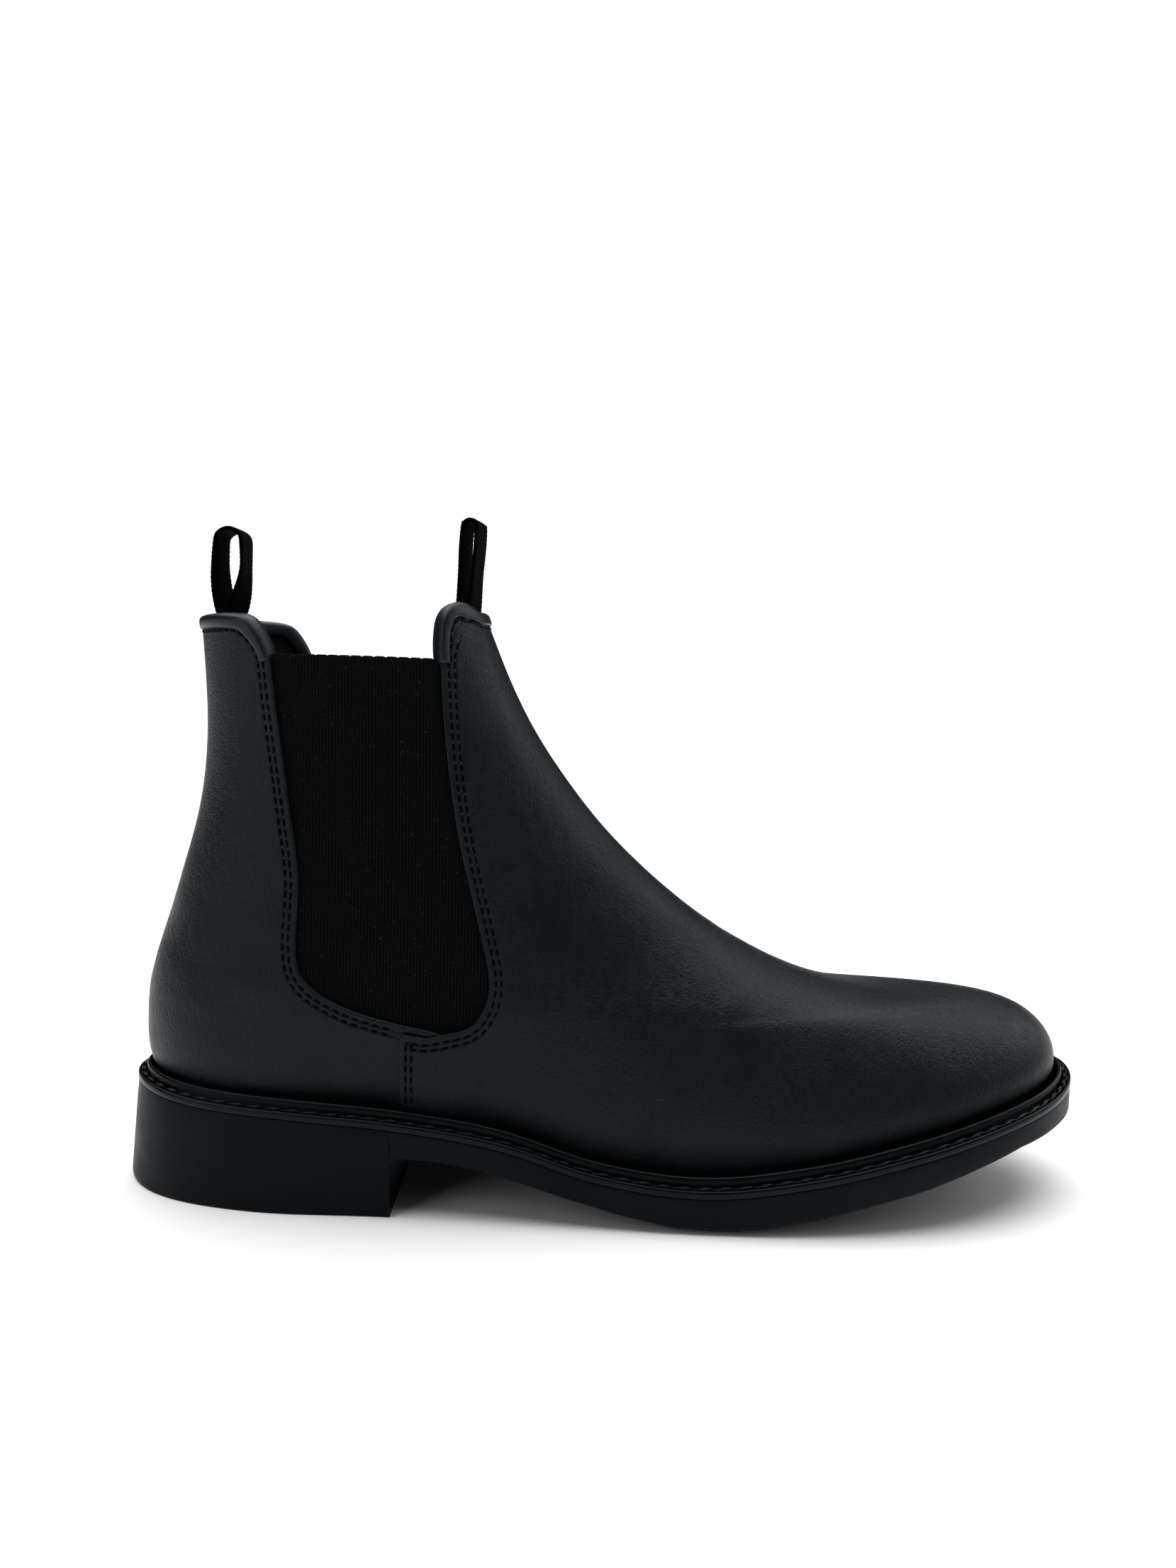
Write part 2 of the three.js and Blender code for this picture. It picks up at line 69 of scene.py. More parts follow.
OUTSOLE_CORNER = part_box("outsole")[0]
SHIFT = np.array([OUTSOLE_LOW[0] - OUTSOLE_CORNER.x / MM, OUTSOLE_LOW[1] - OUTSOLE_CORNER.y / MM, 0])

# ---- depths below the upper's outer surface ----
LEATHER_THICKNESS = 1.5
GORE_DEPTH = 1.9
GORE_THICKNESS = 1.3
LINING_DEPTH = 4.0
LINING_THICKNESS = 1.0
TAIL_DEPTH = 6.1

# ---- the upper's lines, as in the CAD model: back x z, front x z, then 12 widths round the ring ----
RINGS = np.array([
    [8.5, 34, 298, 36, 0, -24, -31.5, -38, -45, -31, 4, 36, 45, 31, 30, 24],
    [6.6, 39, 300, 46, 0, -26.5, -34.5, -41, -46.5, -34, 4, 38, 46.5, 34, 33, 26],
    [6, 44, 290.5, 58.2, 0, -28, -35.5, -39.5, -36.4, -25, 3, 27.5, 36.4, 36, 34.5, 27],
    [5.8, 49, 267.6, 62.3, 0, -27.5, -35, -39.4, -32.6, -13.9, 2, 15.9, 33.6, 37.9, 34, 27],
    [6.5, 63.5, 233.9, 60.1, 0, -27, -34.5, -38.8, -35.7, -24.5, 1, 25.5, 36.7, 38.3, 34, 26.5],
    [9.5, 73.1, 197, 73.9, 0, -24.5, -32.5, -36, -31.8, -20.3, 0, 20.8, 32.3, 36, 32.5, 24.5],
    [17, 97, 163, 99, 0, -21, -29, -32, -28.5, -18, 0, 18.5, 28.5, 32, 29, 21],
    [24.5, 124, 138, 127, 0, -17.5, -27.5, -31, -27.5, -17, 0, 17, 27.5, 31, 27.5, 17.5],
    [25.8, 150, 122.6, 153, 0, -16.5, -28, -32, -28, -16.5, 0, 16.5, 28, 32, 28, 16.5],
    [23.5, 179, 112, 180, 0, -17, -29, -33.5, -29, -17, 0, 17, 29, 33.5, 29, 17],
], float)
TOP_RING = len(RINGS) - 1
FEATHER_REACH = 3.0
# the curve round a ring runs inside the widths it is steered by, and this brings it out to them
WIDTH_SCALE = 3 / (2 + math.cos(math.pi / 6))
SOLE_START, SOLE_STEP = -30.0, 30.0
SOLE_TOP = np.array([35, 34.2, 31.8, 30.5, 28.9, 24.8, 16.2, 13.1, 16.8, 23.4, 30.4, 36.2, 43], float)
SOLE_BOTTOM = [(91, 17.8), (103, 17.6), (116, 15.6), (128, 12.2), (142, 8), (156, 4), (170, 1), (182, 0.1),
               (190, 0.3), (198, 1.2), (212, 3.8), (228, 8), (244, 12.3), (260, 17.6), (276, 22.6),
               (292, 25.2), (312, 27.5)]

# ---- side-view outlines of the seams ----
SEAM_X = 91.0
COLLAR_BACK, COLLAR_FRONT = 177.5, 180.2
GORE_TOP = 165.3
GORE_BACK = [(50.9, GORE_TOP), (52.8, 148), (56.2, 123), (59.6, 100), (59.5, 77), (64, 68), (76, 61.6)]
GORE_LOW = (SEAM_X, 57.6)
GORE_FRONT = [(104, 55.4), (112.5, 58.3), (117, 69), (113.5, 86), (107, 112), (102.8, 140), (100.8, GORE_TOP)]
FLEX_PIVOT = (163.2, 99.0)
FLEX_LOW = (117.4, 69.6)
FLEX_BEFORE, FLEX_AFTER = -28.0, 40.0
FLEX_FLOOR, FLEX_RISE = 50.0, 25.0
FLEX_SPAN = [FLEX_LOW[0], 0, FLEX_LOW[1]], [FLEX_LOW[0], 0, FLEX_LOW[1] + 30]


def to_frame(points):
    """Drawing points in millimetres as frame points in metres."""
    return (np.asarray(points, float) - SHIFT) * MM


def smoothstep(t):
    t = np.clip(t, 0, 1)
    return t * t * (3 - 2 * t)


def unit(vectors):
    return vectors / np.linalg.norm(vectors, axis=-1, keepdims=True)


def run_lengths(line):
    """Length along a line up to each of its points."""
    return np.concatenate([[0], np.cumsum(np.linalg.norm(np.diff(line, axis=0), axis=1))])


def between_points(pts, i, t):
    """Catmull-Rom curve through pts, a share t of the way from point i to the next."""
    p0, p1, p2, p3 = (pts[np.clip(i + k, 0, len(pts) - 1)] for k in (-1, 0, 1, 2))
    square, cube = 2 * p0 - 5 * p1 + 4 * p2 - p3, 3 * p1 - p0 - 3 * p2 + p3
    return 0.5 * (2 * p1 + (p2 - p0) * t + square * t**2 + cube * t**3)


def spline(points, count):
    """A smooth line of count + 1 points through the given ones, evenly spaced in parameter."""
    pts = np.asarray(points, float)
    at = np.linspace(0, len(pts) - 1, count + 1)
    i = np.minimum(at.astype(int), len(pts) - 2)
    return between_points(pts, i, (at - i)[:, None])


def at_even_steps(table, along, step):
    """Rows of a table read off at even steps of the length along it."""
    at = np.linspace(0, along[-1], max(2, int(round(along[-1] / step)) + 1))
    return np.stack([np.interp(at, along, column) for column in table.T], 1)


def resample(line, step):
    """The same line with points an even step apart."""
    line = np.asarray(line, float)
    return at_even_steps(line, run_lengths(line), step)


# ---- the upper's outer surface ----
def sole_top(x):
    """Height of the sole's rim at x."""
    at = np.clip((np.asarray(x, float) - SOLE_START) / SOLE_STEP, 0, len(SOLE_TOP) - 1.001)
    i = at.astype(int)
    return between_points(SOLE_TOP, i, at - i)


def cubic_weights(t):
    return [(1 - t) ** 3 / 6, (3 * t**3 - 6 * t**2 + 4) / 6, (-3 * t**3 + 3 * t**2 + 3 * t + 1) / 6, t**3 / 6]


TOP_RISE = RINGS[-1] - RINGS[-2]
RING_TABLE = np.vstack([2 * RINGS[0] - RINGS[1], RINGS, RINGS[-1] + TOP_RISE, RINGS[-1] + 2 * TOP_RISE])


def ring_rows(level):
    i = np.clip(np.floor(level).astype(int), 0, TOP_RING - 1)
    weights = cubic_weights(level - i)
    return sum(w[..., None] * RING_TABLE[i + k] for k, w in enumerate(weights))


def surface(angle, level):
    """Points of the upper's outer surface; the angle runs from the heel round the outer side to the toe."""
    angle, level = np.broadcast_arrays(np.asarray(angle, float), np.asarray(level, float))
    row = ring_rows(level)
    turn = np.mod(angle, 2 * math.pi) / (math.pi / 6)
    sector = np.floor(turn).astype(int)
    weights = cubic_weights(turn - sector)
    columns = [((sector + k - 1) % 12)[..., None] for k in range(4)]
    widths = [np.take_along_axis(row[..., 4:], column, -1)[..., 0] for column in columns]
    y = WIDTH_SCALE * sum(w * width for w, width in zip(weights, widths))
    forward = (1 - np.cos(angle)) / 2
    x = row[..., 0] * (1 - forward) + row[..., 2] * forward
    z = row[..., 1] * (1 - forward) + row[..., 3] * forward
    feather = RINGS[0, 1] * (1 - forward) + RINGS[0, 3] * forward
    settle = 1 - smoothstep(level / FEATHER_REACH)
    return np.stack([x, y, z + settle * (sole_top(x) - feather)], -1)


def surface_normal(angle, level):
    small = 1e-3
    low, high = np.maximum(level - small, 0), level + small
    along = surface(angle + small, level) - surface(angle - small, level)
    up = surface(angle, high) - surface(angle, low)
    return unit(np.cross(along, up))


def on_boot(path):
    """Points of the surface along a path of angles and levels."""
    return surface(path[:, 0], path[:, 1])


# heights and the levels that lie there, near enough to start the search below
LEVEL_GUESS = (34, 46, 56, 63, 76, 98, 126, 152, 180), (0, 1, 2.5, 4, 5, 6, 7, 8, 9)
SEARCH_STEPS, SEARCH_MISS = 40, 1e-4


def on_side(points, side):
    """Angle and level of side-view points, on the outer (-1) or the inner side (1), by Newton's method."""
    points = np.asarray(points, float)
    share = np.clip((points[:, 0] - 20) / 200, 0.05, 0.95)
    level = np.interp(points[:, 1], *LEVEL_GUESS)
    for _ in range(SEARCH_STEPS):
        angle = np.arccos(np.clip(1 - 2 * share, -1, 1))
        here = surface(angle, level)[:, [0, 2]]
        miss = points - here
        if np.abs(miss).max() < SEARCH_MISS:
            break
        step = 1e-4
        d_share = (surface(np.arccos(np.clip(1 - 2 * (share + step), -1, 1)), level)[:, [0, 2]] - here) / step
        d_level = (surface(angle, level + step)[:, [0, 2]] - here) / step
        det = d_share[:, 0] * d_level[:, 1] - d_share[:, 1] * d_level[:, 0]
        move_share = (miss[:, 0] * d_level[:, 1] - miss[:, 1] * d_level[:, 0]) / det
        move_level = (d_share[:, 0] * miss[:, 1] - d_share[:, 1] * miss[:, 0]) / det
        share = np.clip(share + np.clip(move_share, -0.1, 0.1), 0.0005, 0.9995)
        level = np.clip(level + np.clip(move_level, -0.7, 0.7), 0, TOP_RING + 0.2)
    angle = np.arccos(1 - 2 * share)
    return (angle if side < 0 else 2 * math.pi - angle), level


# ---- signed distances in the side view ----
def line_distance(xz, line):
    """Distance from each side-view point to an open line."""
    a, b = np.asarray(line[:-1], float), np.asarray(line[1:], float)
    span = b - a
    rel = xz[:, None] - a
    t = np.clip((rel * span).sum(-1) / (span**2).sum(-1), 0, 1)
    return np.sqrt(((rel - t[..., None] * span) ** 2).sum(-1)).min(1)


def inside_distance(xz, outline):
    """Distance to a closed side-view outline, positive inside it."""
    ring = np.vstack([outline, outline[:1]])
    distance = line_distance(xz, ring)
    x0, z0 = ring[:-1].T
    x1, z1 = ring[1:].T
    spans = (z0 > xz[:, 1:2]) != (z1 > xz[:, 1:2])
    with np.errstate(divide="ignore", invalid="ignore"):
        cross_x = x0 + (xz[:, 1:2] - z0) * (x1 - x0) / (z1 - z0)
    odd = (spans & (xz[:, :1] < cross_x)).sum(1) % 2 == 1
    return np.where(odd, distance, -distance)


def offset_line(line, distance):
    """A side-view line moved sideways to its left, with mitred corners."""
    line = np.asarray(line, float)
    way = unit(np.diff(line, axis=0))
    left = np.stack([-way[:, 1], way[:, 0]], 1)
    before, after = np.vstack([left[:1], left]), np.vstack([left, left[-1:]])
    mitre = (before + after) / (1 + (before * after).sum(1, keepdims=True))
    return line + distance * mitre


# ---- meshes ----
SNAP_SHARE = 0.3


def grid_edges(index):
    """Edges of a grid of point numbers, along its rows and down its columns."""
    flat = np.stack([index[:, :-1], index[:, 1:]], -1).reshape(-1, 2)
    upright = np.stack([index[:-1], index[1:]], -1).reshape(-1, 2)
    return np.vstack([flat, upright])


def crossings(sign, edges):
    """Edges whose ends lie on different sides of the cut, and the share of each before the cut."""
    a, b = edges[sign[edges[:, 0]] * sign[edges[:, 1]] < 0].T
    return a, b, sign[a] / (sign[a] - sign[b])


def snapped(data, sign, edges):
    """The points with those nearest to the cut moved onto it, and which ones these are."""
    a, b, t = crossings(sign, edges)
    own, other, share = np.concatenate([a, b]), np.concatenate([b, a]), np.concatenate([t, 1 - t])
    order = np.argsort(share)
    own, first = np.unique(own[order], return_index=True)
    other, share = other[order][first], share[order][first]
    close = share < SNAP_SHARE
    own, other, share = own[close], other[close], share[close]
    moved = data.copy()
    moved[own] = data[own] + (data[other] - data[own]) * share[:, None]
    return moved, own


def clipped(cell, sign, cut_at):
    """The part of a cell that lies inside, with the numbers of the points on the cut."""
    polygon = []
    for p, q in zip(cell, cell[1:] + cell[:1]):
        if sign[p] >= 0:
            polygon.append(p)
        if sign[p] * sign[q] < 0:
            polygon.append(cut_at[(min(p, q), max(p, q))])
    return polygon


def trim(lattice, inside):
    """Cut a lattice of values along inside = 0: the kept values, the faces and which points are on the cut."""
    count = inside.size
    index = np.arange(count).reshape(inside.shape)
    sign, edges = inside.ravel().copy(), grid_edges(index)
    moved, on_line = snapped(lattice.reshape(count, -1), sign, edges)
    sign[on_line] = 0
    a, b, t = crossings(sign, edges)
    everything = np.vstack([moved, moved[a] + (moved[b] - moved[a]) * t[:, None]])
    cut_at = {pair: count + k for k, pair in enumerate(zip(a.tolist(), b.tolist()))}
    cells = np.stack([index[:-1, :-1], index[:-1, 1:], index[1:, 1:], index[1:, :-1]], -1).reshape(-1, 4)
    value = sign[cells]
    faces = cells[(value >= 0).all(1) & (value > 0).any(1)].tolist()
    parts = [clipped(cell, sign, cut_at) for cell in cells[(value > 0).any(1) & (value < 0).any(1)].tolist()]
    faces += [part for part in parts if len(part) > 2]
    on_cut = np.zeros(len(everything), bool)
    on_cut[on_line] = True
    on_cut[count:] = True
    used = np.unique(np.concatenate([np.array(f) for f in faces]))
    new = np.full(len(everything), -1)
    new[used] = np.arange(len(used))
    return everything[used], [[int(new[v]) for v in f] for f in faces], on_cut[used]


def open_edges(faces):
    """Directed edges that only one face uses."""
    seen = set()
    for face in faces:
        seen.update(zip(face, face[1:] + face[:1]))
    return [(a, b) for a, b in seen if (b, a) not in seen]


def shell(points, normals, faces, top, thickness, push, rim_rows=5):
    """A closed sheet with its outer side at a height along the normals and a rim rounded towards push."""
    outer = points + normals * top[:, None]
    inner = outer - normals * thickness
    rim = sorted(open_edges(faces))
    border = sorted({v for edge in rim for v in edge})
    at = {v: k for k, v in enumerate(border)}
    radius = thickness / 2
    turns = [math.pi * (k + 1) / (rim_rows + 1) for k in range(rim_rows)]
    rows = [outer[border] + push[border] * math.sin(t) * radius - normals[border] * radius * (1 - math.cos(t))
            for t in turns]
    count = len(points)
    out_faces = [list(f) for f in faces] + [[v + count for v in reversed(f)] for f in faces]
    for a, b in rim:
        ring_a, ring_b = ([v] + [2 * count + k * len(border) + at[v] for k in range(rim_rows)] + [v + count]
                          for v in (a, b))
        out_faces += [[b0, a0, a1, b1] for a0, a1, b0, b1 in zip(ring_a, ring_a[1:], ring_b, ring_b[1:])]
    source = np.concatenate([np.arange(count), np.arange(count)] + [np.array(border)] * rim_rows)
    return np.vstack([outer, inner] + rows), out_faces, source


def tangents(normals):
    side = np.cross(normals, [0, 0, 1.0])
    short = np.linalg.norm(side, axis=1) < 0.05
    side[short] = np.cross(normals[short], [0, 1.0, 0])
    side = unit(side)
    return side, np.cross(normals, side)


def outward(points, normals, measure):
    """Unit tangent directions in which measure falls fastest."""
    step = 0.2
    first, second = ((measure(points + t * step) - measure(points - t * step))[:, None] * t
                     for t in tangents(normals))
    push = -(first + second)
    return push / np.maximum(np.linalg.norm(push, axis=1, keepdims=True), 1e-9)


def ring_faces(rows, cols):
    """Quads between one ring of points and the next."""
    return [[r * cols + c, r * cols + (c + 1) % cols, (r + 1) * cols + (c + 1) % cols, (r + 1) * cols + c]
            for r in range(rows - 1) for c in range(cols)]


def tube_faces(rows, cols):
    """Quads of a tube of rings, with both ends closed."""
    last = (rows - 1) * cols
    return ring_faces(rows, cols) + [list(range(cols))[::-1], [last + k for k in range(cols)]]


def add_object(name, data):
    made = bpy.data.objects.new(name, data)
    bpy.context.scene.collection.objects.link(made)
    return made


# ---- pieces ----
def flex_weight(points):
    """How far each drawing point follows the front of the shaft when the collar is pulled open."""
    points = np.asarray(points, float)
    way = np.subtract(FLEX_PIVOT, FLEX_LOW) / math.dist(FLEX_PIVOT, FLEX_LOW)
    rel = points[:, [0, 2]] - FLEX_LOW
    above = rel[:, 1] * way[0] - rel[:, 0] * way[1]
    across = smoothstep((above - FLEX_BEFORE) / (FLEX_AFTER - FLEX_BEFORE))
    return across * smoothstep((points[:, 2] - FLEX_FLOOR) / FLEX_RISE) * front_share(points)


def front_share(points):
    """0 at the gore's back edge and behind it, 1 at its front edge and in front of it."""
    back = spline(GORE_BACK + [GORE_LOW], 60)[::-1]
    front = spline([GORE_LOW] + GORE_FRONT, 80)
    z = np.clip(points[:, 2], GORE_LOW[1] + 0.5, GORE_TOP)
    x_back = np.interp(z, np.maximum.accumulate(back[:, 1]), back[:, 0])
    x_front = np.interp(z, np.maximum.accumulate(front[:, 1]), front[:, 0])
    return smoothstep((points[:, 0] - x_back) / np.maximum(x_front - x_back, 1))


def piece(name, points, faces, material, body="root", stands_for=(), values=None, flexes=False, slot=None,
          between=None):
    """A mesh from drawing points that rides on a body, flexes with the shaft's front or bends between two."""
    mesh = bpy.data.meshes.new(name)
    mesh.from_pydata(to_frame(points).tolist(), [], faces)
    mesh.update()
    mesh.shade_smooth()
    made = add_object(name, mesh)
    mesh.materials.append(material)
    for key, value in (values or {}).items():
        mesh.attributes.new(key, "FLOAT", "POINT").data.foreach_set("value", np.asarray(value, np.float32))
    if flexes:
        between = ("root", "front_shaft", *FLEX_SPAN)
    if between:
        low, high = to_frame([between[2], between[3]])
        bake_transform(made, between[0], between[1], start=tuple(low), end=tuple(high))
    else:
        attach(made, body)
    if flexes:
        mesh.attributes["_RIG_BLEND"].data.foreach_set("value", flex_weight(points).astype(np.float32))
    if stands_for:
        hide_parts(*stands_for)
    return made


# ---- leather panels ----
ANGLE_STEP = 0.0125
LEVEL_STEPS = ((0, 2, 8), (2, TOP_RING, 15))
SEAM_GAP = 0.12
EDGE_SPAN = 8.0
TAB_LIFT = 1.6
STITCH_ROWS = (2.1, 3.8)
# how far above the band's lower edge the leather's stitch grooves are measured from, at the back and in front
BACK_ROW_RISE, FRONT_ROW_RISE = 2.75, 3.05


def level_rows():
    """The levels of a panel's rows, closer together up the vamp and the shaft."""
    rows = [np.linspace(a, b, int((b - a) * n) + 1)[:-1] for a, b, n in LEVEL_STEPS]
    return np.append(np.concatenate(rows), TOP_RING)


def waves(points, wavelength, count, seed, stretch=(1, 1, 1)):
    """Smooth undulation from a fixed set of plane waves, about one in size."""
    random = np.random.default_rng(seed)
    total = np.zeros(len(points))
    for _ in range(count):
        way = unit(random.normal(size=3))
        phase = random.uniform(0, 2 * math.pi)
        size = wavelength * random.uniform(0.7, 1.4)
        total += np.sin(points @ (way * stretch) * (2 * math.pi / size) + phase)
    return total / math.sqrt(count)


def around_point(points, centre, reach):
    """1 at a side-view centre, falling to 0 over the reach."""
    offset = (points[:, [0, 2]] - centre) / reach
    return np.exp(-(offset**2).sum(1))


def quarter_outline():
    """A quarter in the side view, with the edges that lie under the vamp and beyond the heel."""
    gore = spline(GORE_BACK + [GORE_LOW], 60)[::-1]
    top = [(47, 171), (43.4, 174.8), (39.6, COLLAR_BACK - 1.1), (-30, COLLAR_BACK - 0.7)]
    return np.array([(-30, -40), (108, -40), (108, 52.5), (101, 55.8)] + [tuple(p) for p in gore] + top)


def vamp_edge():
    """The vamp's free edge in the side view: from the welt up the tab, round the gore and up."""
    corner = [(SEAM_X, 10), (SEAM_X, 54.6), (SEAM_X + 0.7, 55.3)]
    front = spline(GORE_FRONT, 80)
    tab = spline([(93, 55.2), (98.6, 54.3), tuple(front[0])], 12)
    return np.array(corner + [tuple(p) for p in tab[:-1]] + [tuple(p) for p in front])


def vamp_outline():
    """The vamp in the side view, its edge closed by lines well outside the boot."""
    top = [(102.4, 174), (105, 178.2)]
    top += [(x, COLLAR_FRONT + rise) for x, rise in ((109, -0.7), (140, 0.3), (400, 1))]
    return np.array([(SEAM_X, -40)] + [tuple(p) for p in vamp_edge()[1:]] + top + [(400, -40)])


def tab_lift(points):
    """The tab lies on the quarter; further forward the vamp settles back to the boot's own surface."""
    x, z = points[:, 0], points[:, 2]
    return TAB_LIFT * (1 - smoothstep((x - 99) / 22)) * (1 - smoothstep((z - 58) / 12))


def surface_grid(angles, levels):
    """Points and normals of the boot's surface over a grid of angles and levels."""
    grid = np.meshgrid(angles, levels)
    return np.concatenate([surface(*grid), surface_normal(*grid)], -1)


def panel(name, angles, outline, keep_side, stands_for, flexes, collar, relief):
    """A leather panel with folded edges, cut from the boot's surface by a side-view outline."""
    lattice = surface_grid(angles, level_rows())
    radius = LEATHER_THICKNESS / 2

    def measure(p):
        away = inside_distance(p[:, [0, 2]], outline)
        return np.minimum(away, p[:, 1] * keep_side - SEAM_GAP) if keep_side else away

    inside = measure(lattice[..., :3].reshape(-1, 3)).reshape(lattice.shape[:2]) - radius
    data, faces, on_cut = trim(lattice, inside)
    p, n = data[:, :3], unit(data[:, 3:])
    push = outward(p, n, measure) * on_cut[:, None]
    edge = np.where(on_cut, radius, measure(p))
    made, all_faces, source = shell(p, n, faces, relief(p, edge), LEATHER_THICKNESS, push)
    below = collar - p[:, 2]
    seam_distance = np.minimum(edge, np.where(below > 0, below, EDGE_SPAN))
    # the second value is painted shade, darkest just over the welt at the waist
    values = {"edge": seam_distance[source], "shade_over_welt": shade_over_welt(p)[source]}
    piece(name, made, all_faces, leather, stands_for=stands_for, values=values, flexes=flexes,
          slot="upper_leather")


def shade_over_welt(p):
    """Painted shade: 1 on the open leather, less just over the welt where shade falls, most of all at the
    waist.
    """
    reach = 3 + 8 * smoothstep((p[:, 0] - 30) / 60) * (1 - 0.45 * smoothstep((p[:, 0] - 170) / 70))
    return 0.15 + 0.85 * smoothstep((p[:, 2] - sole_top(p[:, 0]) - 2.5) / reach)


def quarter_folds(p, edge):
    """Slight softness where the heel's leather is pulled over the last."""
    fade = smoothstep(edge / 6)
    slack = around_point(p, (38, 78), (26, 18)) + 0.7 * around_point(p, (40, 62), (30, 12))
    return 0.16 * fade * slack * waves(p, 17, 14, 3, (0.6, 0.6, 1.6)) + 0.1 * fade * waves(p, 34, 10, 4)


def vamp_folds(p, edge):
    """The tab's rise, and fine creases over the instep and down the front of the shaft."""
    fade = smoothstep(edge / 7)
    instep = around_point(p, (165, 62), (42, 26)) + 0.8 * around_point(p, (128, 95), (22, 34))
    shaft = around_point(p, (112, 150), (12, 34))
    fine = 0.1 * instep * waves(p, 9, 20, 5, (1.5, 0.8, 0.7))
    fine += 0.08 * shaft * waves(p, 13, 12, 6, (1.4, 1.4, 0.4))
    return tab_lift(p) + fade * (fine + 0.12 * waves(p, 46, 10, 7))


def make_leather_panels():
    back = np.arange(-0.05, 1.5, ANGLE_STEP)
    collar = COLLAR_BACK - BAND_WIDTH * BACK_BAND[1][0] + BACK_ROW_RISE
    for name, angles, side in (("outer", back, -1), ("inner", 2 * math.pi - back[::-1], 1)):
        panel("quarter_leather_" + name, angles, quarter_outline(), side, ["quarter_" + name], False, collar,
              quarter_folds)
    front = np.arange(1.02, 2 * math.pi - 1.02, ANGLE_STEP)
    collar = COLLAR_FRONT - BAND_WIDTH * FRONT_BAND[1][-1] + FRONT_ROW_RISE
    panel("vamp_leather", front, vamp_outline(), 0, ["vamp", "vamp_shaft"], True, collar, vamp_folds)


# ---- elastic gores ----
GORE_RIB = 1.0
GORE_RIB_HEIGHT = 0.3
GORE_TUCK = 7.0
GORE_SPAN = (42, 127)
GORE_FOOT, GORE_ROW = 46, 1.7


def gore_outline():
    """The gore with the margins that are sewn under the leather."""
    edge = np.vstack([spline(GORE_BACK + [GORE_LOW], 50), spline([GORE_LOW] + GORE_FRONT, 70)[1:]])
    grown = offset_line(resample(edge, 2.5), -GORE_TUCK)
    grown[0, 1] = grown[-1, 1] = GORE_TOP
    return grown


def make_gore(name, side, node):
    x = np.arange(*GORE_SPAN, GORE_RIB / 4)
    z = np.append(np.arange(GORE_FOOT, GORE_TOP, GORE_ROW), GORE_TOP + 0.9)
    grid_x, grid_z = np.meshgrid(x, z)
    flat = np.stack([grid_x.ravel(), grid_z.ravel()], 1)
    angle, level = on_side(flat, side)
    points, normals = surface(angle, level), surface_normal(angle, level)
    ribs = 0.5 + 0.5 * np.cos(2 * math.pi * grid_x / GORE_RIB)
    frayed = 0.25 * np.sin(grid_x * 2.7) * np.sin(grid_x * 0.9)
    inside = inside_distance(flat, gore_outline()).reshape(grid_x.shape)
    inside = np.minimum(inside, GORE_TOP + frayed - grid_z)
    lattice = np.concatenate([points, normals, ribs.reshape(-1, 1)], 1).reshape(*grid_x.shape, 7)
    if side > 0:
        lattice, inside = lattice[:, ::-1], inside[:, ::-1]
    data, faces, _ = trim(lattice, inside)
    p, n = data[:, :3], unit(data[:, 3:6])
    top = -GORE_DEPTH + GORE_RIB_HEIGHT * data[:, 6] + 0.15 * waves(p, 60, 6, 8)
    made, all_faces, source = shell(p, n, faces, top, GORE_THICKNESS, np.zeros_like(p), rim_rows=1)
    piece(name, made, all_faces, elastic, stands_for=[node], flexes=True, slot="elastic",
          values={"rib": data[source, 6]})


# ---- lining ----
LINING_TOP = GORE_TOP - 0.8
LINING_STEP = 0.12


def lining_outline(back):
    """One of the two linings in the side view; they meet under the gores."""
    if back:
        top = [(47, LINING_TOP), (44.6, 170.6), (40.6, 174.8), (-30, 176)]
        return np.array([(-30, -60), (SEAM_X - 0.2, -60), (SEAM_X - 0.2, LINING_TOP)] + top)
    top = [(400, 179.4), (110, 180), (105.6, 179.6), (103.4, 176.4), (102.2, 171), (102, LINING_TOP)]
    return np.array([(SEAM_X + 0.2, -60), (400, -60)] + top + [(SEAM_X + 0.2, LINING_TOP)])


def make_lining(name, angles, outline, stands_for, flexes):
    """The plain sheet inside the upper, cut by a side-view outline."""
    lattice = surface_grid(angles, np.arange(0, TOP_RING + LINING_STEP / 2, LINING_STEP))
    inside = inside_distance(lattice[..., [0, 2]].reshape(-1, 2), outline).reshape(lattice.shape[:2])
    data, faces, _ = trim(lattice, inside)
    p, n = data[:, :3], unit(data[:, 3:])
    depth = np.full(len(p), -LINING_DEPTH)
    made, all_faces, _ = shell(p, n, faces, depth, LINING_THICKNESS, np.zeros_like(p), rim_rows=1)
    piece(name, made, all_faces, lining, stands_for=stands_for, flexes=flexes, slot="lining_leather")


def make_linings():
    back, front = np.arange(-1.55, 1.56, 0.03), np.arange(0.95, 2 * math.pi - 0.94, 0.03)
    make_lining("heel_lining", back, lining_outline(True), ["quarter_lining"], False)
    make_lining("front_lining", front, lining_outline(False), ["vamp_lining", "shaft_lining"], True)


# ---- paths on the upper ----
SIDE_STEP = 1.5


def surface_slopes(angle, level):
    step = 1e-3
    d_angle = (surface(angle + step, level) - surface(angle - step, level)) / (2 * step)
    d_level = (surface(angle, level + step) - surface(angle, level - step)) / (2 * step)
    return d_angle, d_level


def even_path(path, pitch):
    """A path of angles and levels with points an even pitch apart on the boot."""
    return at_even_steps(path, run_lengths(on_boot(path)), pitch)


def path_frames(path):
    """Points of a path, the directions along it, the outward normals and the directions to its right."""
    points = on_boot(path)
    along = unit(np.gradient(points, axis=0))
    normals = surface_normal(path[:, 0], path[:, 1])
    return points, along, normals, np.cross(along, normals)


